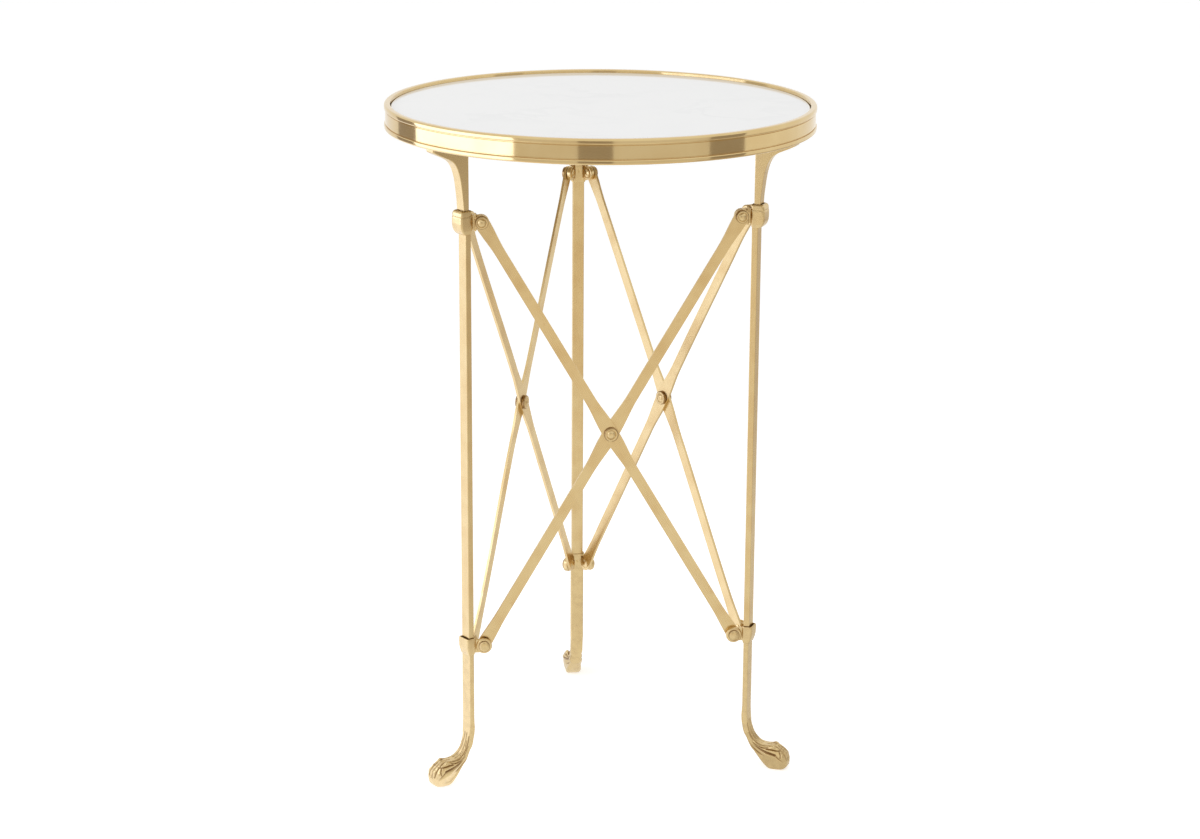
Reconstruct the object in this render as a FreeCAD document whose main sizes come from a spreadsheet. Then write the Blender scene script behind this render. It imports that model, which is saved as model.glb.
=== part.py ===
import FreeCAD, Part
import math
import os
import re

import Sketcher

# Round drinks table: a marble slab in a turned brass rim, carried by three flat-bar legs on
# paw feet, with a pair of crossed flat braces riveted between the legs in every bay.
# Frame: +Z up, origin on the floor under the middle of the top, back leg along +Y.

doc = FreeCAD.newDocument("wine_table")
sheet = doc.addObject("Spreadsheet::Sheet", "Sizes")

# Driving dimensions in millimetres: name, value and what it measures.
DRIVING_SIZES = [
    ("overall_height", "642", "floor to the top of the rim's lip"),
    ("top_diameter", "406", "across the rim's beads"),
    ("rim_height", "23", "rim from its foot to the top of its lip"),
    ("rim_wall", "6", "rim thickness beside the slab"),
    ("bead_reach", "1", "how far the lip and foot beads stand out from the band"),
    ("lip_height", "5", "height of the lip bead"),
    ("lip_round", "2", "outer top rounding of the lip"),
    ("lip_inner_round", "1", "inner top rounding of the lip"),
    ("foot_bead_height", "4.5", "height of the bead at the rim's foot"),
    ("foot_bead_round", "1.5", "lower rounding of the foot bead"),
    ("shadow_line", "0.8", "height and depth of the grooves beside the beads"),
    ("ledge_width", "8", "rim ledge that the slab beds on"),
    ("ledge_thickness", "2.5", "rim ledge"),
    ("rebate_depth", "2", "radial rebate in the rim's foot for the plate"),
    ("plate_thickness", "3", "support plate"),
    ("plate_clearance", "0.3", "radial, plate in its rebate"),
    ("pad_thickness", "1", "bedding dot under the slab"),
    ("pad_diameter", "6.5", "bedding dot"),
    ("marble_thickness", "13.5", "slab"),
    ("marble_clearance", "0.6", "radial, slab in the rim"),
    ("marble_arris", "0.8", "chamfer on the slab's edges"),
    ("leg_setback", "46", "edge of the top to the middle of a leg bar"),
    ("leg_width", "11.5", "leg bar along the circle"),
    ("leg_depth", "6", "leg bar towards the axis"),
    ("bar_arris", "0.4", "chamfer on the edges of the leg bars"),
    ("capital_width", "11", "capital along the circle"),
    ("capital_depth", "6", "capital towards the axis, at its foot"),
    ("capital_setout", "1.8", "capital's middle outside the leg bar's middle"),
    ("capital_flare", "33.2", "how far the capital's head reaches past its foot"),
    ("capital_edge", "4.5", "height of the head's outer edge under the plate"),
    ("capital_entry", "3", "capital's foot below the top of its collar"),
    ("capital_rise", "61.5", "top of the upper collar to the plate"),
    ("lower_pivot_height", "135", "floor to the lower brace pivots"),
    ("upper_ear_reach", "15", "leg middle to the upper pivot, along the bay"),
    ("lower_ear_reach", "15", "leg middle to the lower pivot, along the bay"),
    ("bay_offset", "2.5", "middle plane of the ears, outside the leg middles"),
    ("ear_radius", "7", "round end of a collar's ear"),
    ("ear_thickness", "2.4", "collar's ear"),
    ("boss_thickness", "5.2", "thick round end of a lower collar's ear"),
    ("ear_root", "4", "where an ear starts, from the leg middle"),
    ("upper_collar_rise", "11", "upper collar above its pivots"),
    ("upper_collar_drop", "11.5", "upper collar below its pivots"),
    ("upper_front_wall", "5.5", "upper collar, outer side"),
    ("lower_collar_rise", "8", "lower collar above its pivots"),
    ("lower_collar_drop", "9", "lower collar below its pivots"),
    ("lower_front_wall", "3", "lower collar, outer side"),
    ("upper_side_wall", "2.2", "upper collar, along the circle"),
    ("lower_side_wall", "1.5", "lower collar, along the circle"),
    ("collar_back_wall", "1.2", "both collars, towards the axis"),
    ("collar_clearance", "0.1", "collar bore round bar and shank"),
    ("collar_mouth", "1.4", "hollow round bar or capital in a collar's top"),
    ("lower_mouth_depth", "2.5", "depth of that hollow in the lower collar"),
    ("brace_width", "10", "brace between its swellings"),
    ("brace_thickness", "2.4", "brace"),
    ("brace_flat", "17", "half length of a brace's flat seats at its rivets"),
    ("brace_eye_radius", "7", "round end of a brace"),
    ("brace_taper", "34", "length over which a brace swells"),
    ("crossing_width", "14.6", "brace where it crosses its partner"),
    ("crossing_length", "10", "full-width length of that swelling"),
    ("brace_clearance", "0.1", "between a brace and an ear or its partner"),
    ("rivet_radius", "2.4", "rivet shank"),
    ("rivet_clearance", "0.05", "radial, rivet in its hole"),
    ("rivet_head_radius", "4", "domed head of a pivot rivet"),
    ("rivet_head_height", "1.8", "domed head of a pivot rivet"),
    ("crossing_disc_radius", "6.8", "round plate of a crossing rivet's head"),
    ("crossing_disc_height", "1.3", "round plate of a crossing rivet's head"),
    ("crossing_dome_radius", "4.2", "dome on a crossing rivet's head"),
    ("crossing_dome_height", "1.7", "dome on a crossing rivet's head"),
    ("shank_width", "12.9", "shank of the foot along the circle"),
    ("shank_depth", "5", "shank of the foot towards the axis"),
    ("shank_entry", "4", "shank inside the lower collar"),
    ("ankle_height", "45", "floor to the foot of the straight shank"),
    ("foot_reach", "43.5", "leg middle to the toe tips"),
    ("paw_width", "17.5", "across the paw"),
    ("paw_height", "25", "floor to the crest of the paw"),
    ("toe_radius", "2.9", "one toe"),
    ("stud_radius", "1.6", "hidden stud at the ends of a leg bar"),
    ("stud_length", "18", "hidden stud"),
    ("stud_clearance", "0.05", "radial, studs and pins in their holes"),
    ("pin_radius", "1.2", "pin that holds a collar on its bar"),
    ("pin_bite", "1.2", "pin depth in the bar"),
    ("top_screw_radius", "2.5", "screw from the plate into a capital"),
    ("top_screw_head_radius", "4.6", "its countersunk head"),
    ("top_screw_head_height", "2.3", "its countersunk head"),
    ("top_screw_length", "16", "under and with its head"),
    ("rim_screw_radius", "1.5", "screw from the plate into the rim's ledge"),
    ("rim_screw_head_radius", "2.8", "its countersunk head"),
    ("rim_screw_head_height", "1.5", "its countersunk head"),
    ("rim_screw_length", "5", "under and with its head"),
    ("screw_clearance", "0.1", "round screw shanks and heads"),
    ("cut_overrun", "5", "how far a cutting tool passes the solid"),
]
# Places that follow from them and are named in the sheet too.
DERIVED_SIZES = [
    ("leg_circle_radius", "=top_diameter / 2 - leg_setback", "table axis to the middle of a leg bar"),
    ("upper_pivot_height", "=overall_height - rim_height - capital_rise - upper_collar_rise",
     "floor to the upper brace pivots"),
    ("foot_top", "=lower_pivot_height - lower_collar_drop + shank_entry",
     "floor to the joint of shank and leg bar"),
]
ALL_SIZES = DRIVING_SIZES + DERIVED_SIZES
SIZE_NAMES = {name for name, value, meaning in ALL_SIZES}
for row, (name, value, meaning) in enumerate(ALL_SIZES, start=1):
    sheet.set(f"A{row}", meaning)
    sheet.set(f"B{row}", value)
    sheet.setAlias(f"B{row}", name)
doc.recompute()

# Directions, counter-clockwise from +X in degrees.
LEG_ANGLES = {"back": 90, "left": 210, "right": 330}
BAY_ANGLES = {"front": 270, "right": 30, "left": 150}
HALF_BAY_ANGLE = 60
RIM_SCREW_COUNT = 6
PAD_COUNT = 6
UP = FreeCAD.Vector(0, 0, 1)

# Heights and radii that follow from the driving dimensions, as sheet expressions.
RIM_RADIUS = "top_diameter / 2"
BAND_RADIUS = f"({RIM_RADIUS} - bead_reach)"
POCKET_RADIUS = f"({RIM_RADIUS} - rim_wall)"
REBATE_RADIUS = f"({POCKET_RADIUS} + rebate_depth)"
LEDGE_MIDDLE_RADIUS = f"({POCKET_RADIUS} - ledge_width / 2)"
RIM_FOOT = "(overall_height - rim_height)"
PLATE_TOP = f"({RIM_FOOT} + plate_thickness)"
LEDGE_TOP = f"({PLATE_TOP} + ledge_thickness)"
MARBLE_FOOT = f"({LEDGE_TOP} + pad_thickness)"
UPPER_COLLAR_TOP = "(upper_pivot_height + upper_collar_rise)"
CAPITAL_FOOT = f"({UPPER_COLLAR_TOP} - capital_entry)"
CAPITAL_MIDDLE = "(leg_circle_radius + capital_setout)"
BAY_CHORD = "(leg_circle_radius * sqrt(3))"
BRACE_RUN = f"({BAY_CHORD} - upper_ear_reach - lower_ear_reach)"
BRACE_RISE = "(upper_pivot_height - lower_pivot_height)"
BRACE_LENGTH = f"sqrt(pow({BRACE_RUN}; 2) + pow({BRACE_RISE}; 2))"
CROSSING_SHARE = f"(({BAY_CHORD} / 2 - lower_ear_reach) / {BRACE_RUN})"
BRACE_STEP = "(ear_thickness + 2 * brace_clearance + brace_thickness)"


def in_sheet(expression):
    """The expression with every size named as a cell of the sheet."""
    def cell(match):
        word = match.group(0)
        return f"Sizes.{word}" if word in SIZE_NAMES else word
    return re.sub(r"[a-z_]+", cell, expression)


def size(expression):
    """The number that an expression of sizes comes to."""
    value = sheet.evalExpression(in_sheet(expression))
    return float(getattr(value, "Value", value))


def bind(item, name, expression):
    item.setExpression(name, in_sheet(expression))


def turned(angle, place=None):
    """A placement turned about the table's axis."""
    turn = FreeCAD.Placement(FreeCAD.Vector(), FreeCAD.Rotation(UP, angle))
    return turn * place if place else turn


def new_sketch(body, plane_role, lift=None):
    plane = next(item for item in body.Origin.OriginFeatures if item.Role == plane_role)
    sketch = body.newObject("Sketcher::SketchObject", f"{body.Name}_sketch")
    sketch.AttachmentSupport = [(plane, "")]
    sketch.MapMode = "FlatFace"
    if lift:
        bind(sketch, "AttachmentOffset.Base.z", lift)
    return sketch


def hold(sketch, kind, expression, *where):
    """A driving constraint bound to an expression of sizes."""
    index = sketch.addConstraint(Sketcher.Constraint(kind, *where, size(expression)))
    bind(sketch, f"Constraints[{index}]", expression)


def hold_point(sketch, corner, geometry, end):
    hold(sketch, "DistanceX", corner[0], -1, 1, geometry, end)
    hold(sketch, "DistanceY", corner[1], -1, 1, geometry, end)


def draw_outline(sketch, corners):
    """A closed outline through corners (x, y), or (x, y, radius) at the end of a left-turning arc."""
    points = [FreeCAD.Vector(size(corner[0]), size(corner[1]), 0) for corner in corners]
    count = len(corners)
    for index in range(count):
        start = points[index]
        arrival = corners[(index + 1) % count]
        end = points[(index + 1) % count]
        if len(arrival) == 2:
            sketch.addGeometry(Part.LineSegment(start, end), False)
            continue
        radius = size(arrival[2])
        chord = end - start
        inward = FreeCAD.Vector(-chord.y, chord.x, 0).normalize()
        rise = math.sqrt(max(radius ** 2 - chord.Length ** 2 / 4, 0))
        centre = (start + end) / 2 + inward * rise
        first = math.atan2(start.y - centre.y, start.x - centre.x)
        last = math.atan2(end.y - centre.y, end.x - centre.x)
        circle = Part.Circle(centre, UP, radius)
        sketch.addGeometry(Part.ArcOfCircle(circle, first, last), False)
    for index in range(count):
        sketch.addConstraint(Sketcher.Constraint("Coincident", (index - 1) % count, 2, index, 1))
        hold_point(sketch, corners[index], index, 1)
        arrival = corners[(index + 1) % count]
        if len(arrival) == 3:
            hold(sketch, "Radius", arrival[2], index)


def draw_circle(sketch, across, along, radius):
    centre = FreeCAD.Vector(size(across), size(along), 0)
    index = sketch.addGeometry(Part.Circle(centre, UP, size(radius)), False)
    hold_point(sketch, (across, along), index, 3)
    hold(sketch, "Radius", radius, index)


def draw_rectangle(sketch, low, high, half_width):
    """A rectangle from low to high along x, even about the x axis."""
    draw_outline(sketch, [
        (low, f"-({half_width})"),
        (high, f"-({half_width})"),
        (high, half_width),
        (low, half_width),
    ])


def new_body(name):
    return doc.addObject("PartDesign::Body", name)


def padded(body, sketch, length):
    pad = body.newObject("PartDesign::Pad", f"{body.Name}_pad")
    pad.Profile = sketch
    bind(pad, "Length", length)
    return pad


def chamfered(body, base, width):
    chamfer = body.newObject("PartDesign::Chamfer", f"{body.Name}_arris")
    chamfer.Base = (base, [""])
    chamfer.UseAllEdges = True
    bind(chamfer, "Size", width)
    return chamfer


def revolved(body, corners):
    """The outline of a turned piece, (radius, height), spun about the body's Z axis."""
    sketch = new_sketch(body, "XZ_Plane")
    draw_outline(sketch, corners)
    spin = body.newObject("PartDesign::Revolution", f"{body.Name}_turning")
    spin.Profile = sketch
    spin.ReferenceAxis = (sketch, ["V_Axis"])
    spin.Angle = 360
    return spin


def lofted(body, sections, ruled=False):
    """A loft through rectangles (height, low, high, half width), with straight sides if ruled."""
    sketches = []
    for height, low, high, half_width in sections:
        sketch = new_sketch(body, "XY_Plane", lift=height)
        draw_rectangle(sketch, low, high, half_width)
        sketches.append(sketch)
    loft = body.newObject("PartDesign::AdditiveLoft", f"{body.Name}_loft")
    loft.Profile = sketches[0]
    loft.Sections = sketches[1:]
    loft.Ruled = ruled
    return loft


def cylinder(name, radius, height, base, direction=UP):
    rod = doc.addObject("Part::Cylinder", name)
    bind(rod, "Radius", radius)
    bind(rod, "Height", height)
    rod.Placement = FreeCAD.Placement(base, FreeCAD.Rotation(UP, direction))
    return rod


def cone(name, low_radius, high_radius, height, base):
    taper = doc.addObject("Part::Cone", name)
    bind(taper, "Radius1", low_radius)
    bind(taper, "Radius2", high_radius)
    bind(taper, "Height", height)
    taper.Placement = FreeCAD.Placement(base, FreeCAD.Rotation())
    return taper


def block(name, length, width, height, base, angle=0):
    brick = doc.addObject("Part::Box", name)
    bind(brick, "Length", length)
    bind(brick, "Width", width)
    bind(brick, "Height", height)
    brick.Placement = FreeCAD.Placement(base, FreeCAD.Rotation(UP, angle))
    return brick


def fused(name, solids):
    union = doc.addObject("Part::MultiFuse", name)
    union.Shapes = solids
    return union


def cut(name, base, tools):
    result = doc.addObject("Part::Cut", name)
    result.Base = base
    result.Tool = fused(f"{name}_cuts", tools) if len(tools) > 1 else tools[0]
    return result


def group(name, template, places):
    """One node of separate like solids, a copy of the template at every place."""
    doc.recompute()
    node = doc.addObject("Part::Feature", name)
    copies = []
    for place in places:
        copy = template.Shape.copy()
        copy.Placement = place * copy.Placement
        copies.append(copy)
    node.Shape = Part.makeCompound(copies)
    node.Placement = FreeCAD.Placement()
    return node


nodes = {}


def keep(label, item, angle=None):
    """Names a finished sub-part and turns it to its place round the table's axis."""
    item.Label = label
    if angle is not None:
        item.Placement = turned(angle)
    nodes[label] = item


# The rim is one turned ring: foot bead, plain band and lip bead with a fine groove beside each,
# a pocket for the slab, a ledge under it and a rebate below the ledge for the plate.
def add_rim():
    body = new_body("rim")
    lip_foot = "(overall_height - lip_height)"
    band_foot = f"({RIM_FOOT} + foot_bead_height)"
    groove = f"({BAND_RADIUS} - shadow_line)"
    ledge_edge = f"({POCKET_RADIUS} - ledge_width)"
    revolved(body, [
        (REBATE_RADIUS, RIM_FOOT),
        (f"{RIM_RADIUS} - foot_bead_round", RIM_FOOT),
        (RIM_RADIUS, f"{RIM_FOOT} + foot_bead_round", "foot_bead_round"),
        (RIM_RADIUS, f"{band_foot} - bead_reach"),
        (BAND_RADIUS, band_foot, "bead_reach"),
        (groove, band_foot),
        (groove, f"{band_foot} + shadow_line"),
        (BAND_RADIUS, f"{band_foot} + shadow_line"),
        (BAND_RADIUS, f"{lip_foot} - shadow_line"),
        (groove, f"{lip_foot} - shadow_line"),
        (groove, lip_foot),
        (BAND_RADIUS, lip_foot),
        (RIM_RADIUS, f"{lip_foot} + bead_reach", "bead_reach"),
        (RIM_RADIUS, "overall_height - lip_round"),
        (f"{RIM_RADIUS} - lip_round", "overall_height", "lip_round"),
        (f"{POCKET_RADIUS} + lip_inner_round", "overall_height"),
        (POCKET_RADIUS, "overall_height - lip_inner_round", "lip_inner_round"),
        (POCKET_RADIUS, LEDGE_TOP),
        (ledge_edge, LEDGE_TOP),
        (ledge_edge, PLATE_TOP),
        (REBATE_RADIUS, PLATE_TOP),
    ])
    tools = []
    for index in range(RIM_SCREW_COUNT):
        hole = cylinder("rim_hole", "rim_screw_radius", f"{LEDGE_TOP} - {RIM_FOOT} + cut_overrun",
                        rim_screw_place(index).Base)
        tools.append(hole)
    keep("top_rim", cut("top_rim", body, tools))


def rim_screw_place(index):
    """A rim screw's place, its head at the foot of the plate; the screws stand between the legs."""
    step = 360 / RIM_SCREW_COUNT
    angle = LEG_ANGLES["back"] + (index + 0.5) * step
    base = FreeCAD.Vector(size(LEDGE_MIDDLE_RADIUS), 0, size(RIM_FOOT))
    return turned(angle, FreeCAD.Placement(base, FreeCAD.Rotation()))


def top_screw_place(angle):
    """A top screw's place, the top of its head level with the plate."""
    base = FreeCAD.Vector(size(CAPITAL_MIDDLE), 0, size(PLATE_TOP))
    return turned(angle, FreeCAD.Placement(base, FreeCAD.Rotation()))


# The marble slab is a plain disc with its arrises taken off. It beds on dots on the rim's ledge.
def add_slab():
    body = new_body("slab")
    sketch = new_sketch(body, "XY_Plane", lift=MARBLE_FOOT)
    draw_circle(sketch, "0", "0", f"{POCKET_RADIUS} - marble_clearance")
    chamfered(body, padded(body, sketch, "marble_thickness"), "marble_arris")
    keep("marble_top", body)
    pad_base = FreeCAD.Vector(size(LEDGE_MIDDLE_RADIUS), 0, size(LEDGE_TOP))
    dot = cylinder("pad", "pad_diameter / 2", "pad_thickness", pad_base)
    step = 360 / PAD_COUNT
    keep("marble_pads", group("marble_pads", dot, [turned(index * step) for index in range(PAD_COUNT)]))


# The support plate closes the rim from below and takes the screws of rim and capitals.
def add_plate():
    disc = cylinder("plate", f"{REBATE_RADIUS} - plate_clearance", "plate_thickness",
                    FreeCAD.Vector(0, 0, size(RIM_FOOT)))
    below = FreeCAD.Vector(0, 0, -size("cut_overrun"))
    tools = []
    for angle in LEG_ANGLES.values():
        head = top_screw_place(angle).Base - UP * size("top_screw_head_height")
        foot = FreeCAD.Vector(head.x, head.y, size(RIM_FOOT)) + below
        tools.append(cone("top_sink", "top_screw_radius + screw_clearance",
                          "top_screw_head_radius + screw_clearance", "top_screw_head_height", head))
        tools.append(cylinder("top_hole", "top_screw_radius + screw_clearance",
                              "plate_thickness + cut_overrun", foot))
    for index in range(RIM_SCREW_COUNT):
        head = rim_screw_place(index).Base
        tools.append(cone("rim_sink", "rim_screw_head_radius + screw_clearance",
                          "rim_screw_radius + screw_clearance", "rim_screw_head_height", head))
        tools.append(cylinder("rim_pass", "rim_screw_radius + screw_clearance",
                              "plate_thickness + cut_overrun", head))
    keep("support_plate", cut("support_plate", disc, tools))


def screw_profile(prefix):
    """A countersunk screw, head up: the top of its head at zero, its tip below."""
    shank = f"{prefix}_radius"
    head = f"{prefix}_head_radius"
    sink = f"-{prefix}_head_height"
    tip = f"-{prefix}_length"
    return [("0", tip), (shank, tip), (shank, sink), (head, "0"), ("0", "0")]


def add_screws():
    top_screw = new_body("top_screw")
    revolved(top_screw, screw_profile("top_screw"))
    keep("top_screws", group("top_screws", top_screw, [top_screw_place(a) for a in LEG_ANGLES.values()]))
    rim_screw = new_body("rim_screw")
    revolved(rim_screw, screw_profile("rim_screw"))
    upside_down = FreeCAD.Placement(FreeCAD.Vector(), FreeCAD.Rotation(FreeCAD.Vector(1, 0, 0), 180))
    places = [rim_screw_place(index) * upside_down for index in range(RIM_SCREW_COUNT)]
    keep("rim_screws", group("rim_screws", rim_screw, places))


# Legs are drawn in a frame of their own: +X away from the table's axis, +Y along the circle.
def leg_point(out, along, height):
    return FreeCAD.Vector(size("leg_circle_radius") + out, along, height)


def stud_hole(middle, height):
    """The hole for one stud, half of its length to each side of a joint."""
    base = FreeCAD.Vector(size(middle), 0, size(height) - size("stud_length / 2"))
    return cylinder("stud_hole", "stud_radius + stud_clearance", "stud_length", base)


# The capital is a cast bracket: straight inside, and outside it sweeps out to a flat head under
# the plate. It stands in the mouth of the upper collar, on top of the bar, and its stud stands
# where capital and bar overlap. Shares per section: of the rise to the foot of the head's edge,
# then of the flare.
CAPITAL_STUD_MIDDLE = f"({CAPITAL_MIDDLE} - capital_depth / 2 + leg_circle_radius + leg_depth / 2) / 2"
CAPITAL_SECTION_SHARES = [
    (0, 0),
    (0.29, 0.036),
    (0.525, 0.096),
    (0.69, 0.187),
    (0.79, 0.292),
    (0.85, 0.428),
    (0.9, 0.608),
    (0.942, 0.789),
    (1, 1),
]


def add_capital(leg, angle):
    body = new_body(f"{leg}_capital")
    inner = f"({CAPITAL_MIDDLE} - capital_depth / 2)"
    outer = f"({CAPITAL_MIDDLE} + capital_depth / 2)"
    half_width = "capital_width / 2"
    sections = []
    for rise_share, flare_share in CAPITAL_SECTION_SHARES:
        height = f"{CAPITAL_FOOT} + ({RIM_FOOT} - capital_edge - {CAPITAL_FOOT}) * {rise_share}"
        sections.append((height, inner, f"{outer} + capital_flare * {flare_share}", half_width))
    sections.append((RIM_FOOT, inner, f"{outer} + capital_flare", half_width))
    lofted(body, sections, ruled=True)
    screw_tip = f"({PLATE_TOP} - top_screw_length)"
    screw_foot = FreeCAD.Vector(size(CAPITAL_MIDDLE), 0, size(screw_tip))
    screw_hole = cylinder("screw_hole", "top_screw_radius", f"{PLATE_TOP} - {screw_tip}", screw_foot)
    tools = [stud_hole(CAPITAL_STUD_MIDDLE, CAPITAL_FOOT), screw_hole]
    keep(f"{leg}_capital", cut(f"{leg}_capital_drilled", body, tools), angle)


# The leg bar is a straight flat bar. Its joints with the foot's shank and with the capital are
# inside the collars.
def add_leg_bar(leg, angle):
    body = new_body(f"{leg}_bar")
    sketch = new_sketch(body, "XY_Plane", lift="foot_top")
    draw_rectangle(sketch, "leg_circle_radius - leg_depth / 2", "leg_circle_radius + leg_depth / 2",
                   "leg_width / 2")
    chamfered(body, padded(body, sketch, f"{CAPITAL_FOOT} - foot_top"), "bar_arris")
    tools = [stud_hole(CAPITAL_STUD_MIDDLE, CAPITAL_FOOT), stud_hole("leg_circle_radius", "foot_top")]
    for level in COLLAR_SHARES:
        tools.append(pin_hole(level))
    keep(f"{leg}_leg_bar", cut(f"{leg}_bar_drilled", body, tools), angle)


# A collar is a cast cup that hugs the bar or shank at its foot, swells towards its mouth and
# carries two flat ears, one in the plane of each bay beside the leg. Shares: of its height, of
# its walls.
COLLAR_SHARES = {
    "upper": [(0, 0.2), (0.2, 0.65), (0.4, 1), (0.8, 1), (1, 0.92)],
    "lower": [(0, 0.15), (0.25, 0.65), (0.45, 1), (0.8, 1), (1, 1)],
}
COLLAR_CORES = {"upper": "leg_width", "lower": "shank_width"}
SIDES = (1, -1)


def collar_foot(level):
    return f"({level}_pivot_height - {level}_collar_drop)"


def collar_top(level):
    return f"({level}_pivot_height + {level}_collar_rise)"


def collar_height(level):
    return f"({level}_collar_rise + {level}_collar_drop)"


def bay_point(side, along, out, height):
    """A point beside a leg: along its bay from the leg's middle, and out from the leg middles."""
    lean = math.radians(HALF_BAY_ANGLE)
    bay_out = FreeCAD.Vector(math.cos(lean), side * math.sin(lean), 0)
    bay_along = FreeCAD.Vector(-math.sin(lean), side * math.cos(lean), 0)
    return leg_point(0, 0, height) + bay_along * along + bay_out * out


def bay_direction(side):
    return bay_point(side, 0, 1, 0) - bay_point(side, 0, 0, 0)


def pin_place(level):
    """The inner end of a collar's pin, flush with the back of the collar at the pivots' height."""
    return leg_point(-size("leg_depth / 2 + collar_back_wall"), 0, size(f"{level}_pivot_height"))


def pin_hole(level):
    outward = FreeCAD.Vector(1, 0, 0)
    run_in = outward * size("cut_overrun")
    return cylinder("pin_hole", "pin_radius + stud_clearance",
                    "cut_overrun + collar_back_wall + pin_bite", pin_place(level) - run_in, outward)


def hollow(name, inner, outer, half_width, low, high):
    """A square cut inside a collar, between two radii and two heights."""
    base = FreeCAD.Vector(size(inner), -size(half_width), size(low))
    return block(name, f"{outer} - ({inner})", f"2 * ({half_width})", f"{high} - ({low})", base)


def collar_hollows(level):
    """The bore and the mouth of a collar."""
    bar_inner = "leg_circle_radius - leg_depth / 2 - collar_clearance"
    bar_outer = "leg_circle_radius + leg_depth / 2 + collar_clearance"
    bar_half = "leg_width / 2 + collar_clearance"
    mouth_half = "leg_width / 2 + collar_mouth"
    below = f"{collar_foot(level)} - cut_overrun"
    above = f"{collar_top(level)} + cut_overrun"
    if level == "upper":
        mouth_outer = f"{CAPITAL_MIDDLE} + capital_depth / 2 + collar_mouth"
        return [
            hollow("bar_bore", bar_inner, bar_outer, bar_half, below, above),
            hollow("mouth", bar_inner, mouth_outer, mouth_half, CAPITAL_FOOT, above),
        ]
    shank_inner = "leg_circle_radius - shank_depth / 2 - collar_clearance"
    shank_outer = "leg_circle_radius + shank_depth / 2 + collar_clearance"
    shank_half = "shank_width / 2 + collar_clearance"
    mouth_outer = "leg_circle_radius + leg_depth / 2 + collar_mouth"
    mouth_foot = f"{collar_top(level)} - lower_mouth_depth"
    return [
        hollow("bar_bore", bar_inner, bar_outer, bar_half, "foot_top", above),
        hollow("shank_bore", shank_inner, shank_outer, shank_half, below, "foot_top"),
        hollow("mouth", bar_inner, mouth_outer, mouth_half, mouth_foot, above),
    ]


EYE_THICKNESS = {"upper": "ear_thickness", "lower": "boss_thickness"}


def add_collar(leg, angle, level):
    name = f"{leg}_{level}_collar"
    body = new_body(f"{name}_cup")
    sections = []
    for height_share, wall_share in COLLAR_SHARES[level]:
        height = f"{collar_foot(level)} + {collar_height(level)} * {height_share}"
        back = f"leg_circle_radius - leg_depth / 2 - collar_back_wall * {wall_share}"
        front = f"leg_circle_radius + leg_depth / 2 + {level}_front_wall * {wall_share}"
        half_width = f"{COLLAR_CORES[level]} / 2 + {level}_side_wall * {wall_share}"
        sections.append((height, back, front, half_width))
    lofted(body, sections)
    pivot = size(f"{level}_pivot_height")
    reach = f"{level}_ear_reach"
    solids = [body]
    tools = []
    for side in SIDES:
        near_face = size("bay_offset") + side * size("ear_thickness / 2")
        corner = bay_point(side, size("ear_root"), near_face, pivot - size("ear_radius"))
        solids.append(block("ear_web", f"{reach} - ear_root", "ear_thickness", "2 * ear_radius", corner,
                            side * (HALF_BAY_ANGLE + 90)))
        eye_base = bay_point(side, size(reach), size("bay_offset - ear_thickness / 2"), pivot)
        solids.append(cylinder("ear_eye", "ear_radius", EYE_THICKNESS[level], eye_base, bay_direction(side)))
        hole_base = bay_point(side, size(reach), size("bay_offset - ear_thickness"), pivot)
        tools.append(cylinder("ear_hole", "rivet_radius + rivet_clearance",
                              f"ear_thickness + {EYE_THICKNESS[level]}", hole_base, bay_direction(side)))
    tools.extend(collar_hollows(level))
    tools.append(pin_hole(level))
    keep(name, cut(f"{name}_bored", fused(f"{name}_solid", solids), tools), angle)


# The paw foot is cast: a flat shank that bends outwards, spreads and flattens into a paw with
# four toes and stands flat on the floor. Shares per section: of the foot's reach, then for the
# section's height of the paw's height and of the ankle's height above the paw, then of the paw's
# height (half depth) and of its width (half width). The angles are the leans from level.
FOOT_SECTION_SHARES = [
    (0.030, 1, 0.8425, 0.132, 0.360),
    (0.105, 1, 0.343, 0.174, 0.366),
    (0.205, 1, 0.001, 0.205, 0.377),
    (0.338, 0.7632, 0, 0.284, 0.410),
    (0.500, 0.5994, 0, 0.400, 0.450),
    (0.690, 0.4716, 0, 0.500, 0.480),
    (0.845, 0.396, 0, 0.410, 0.430),
    (0.935, 0.378, 0, 0.240, 0.310),
]
FOOT_SECTION_ANGLES = (5, 25, 32, 49, 61, 75, 84, 88)
TOE_SHARES = (-0.32, -0.12, 0.12, 0.32)
TOE_PULLBACK_SHARE = 1.2
KNUCKLE_SHARES = (0.83, 0.68)
KNUCKLE_SPREAD_SHARE = 0.95
TOE_TIP_SHARE = 0.105
SECTION_POINTS = 16
SHANK_ROUNDNESS_SHARE = 0.4
PAW_ROUNDNESS_SHARE = 0.7


def foot_section(centre, lean, half_depth, half_width, roundness):
    """A closed, softly squared section of the foot, begun at its side; a roundness of one is an ellipse."""
    tilt = math.radians(lean)
    deep = FreeCAD.Vector(math.cos(tilt), 0, math.sin(tilt))
    wide = FreeCAD.Vector(0, 1, 0)
    points = []
    for index in range(SECTION_POINTS):
        turn = math.pi / 2 + 2 * math.pi * (index + 0.5) / SECTION_POINTS
        depth = math.copysign(abs(math.cos(turn)) ** roundness, math.cos(turn))
        width = math.copysign(abs(math.sin(turn)) ** roundness, math.sin(turn))
        points.append(centre + deep * (half_depth * depth) + wide * (half_width * width))
    curve = Part.BSplineCurve()
    curve.interpolate(points, PeriodicFlag=True)
    return Part.Wire([curve.toShape()])


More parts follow.
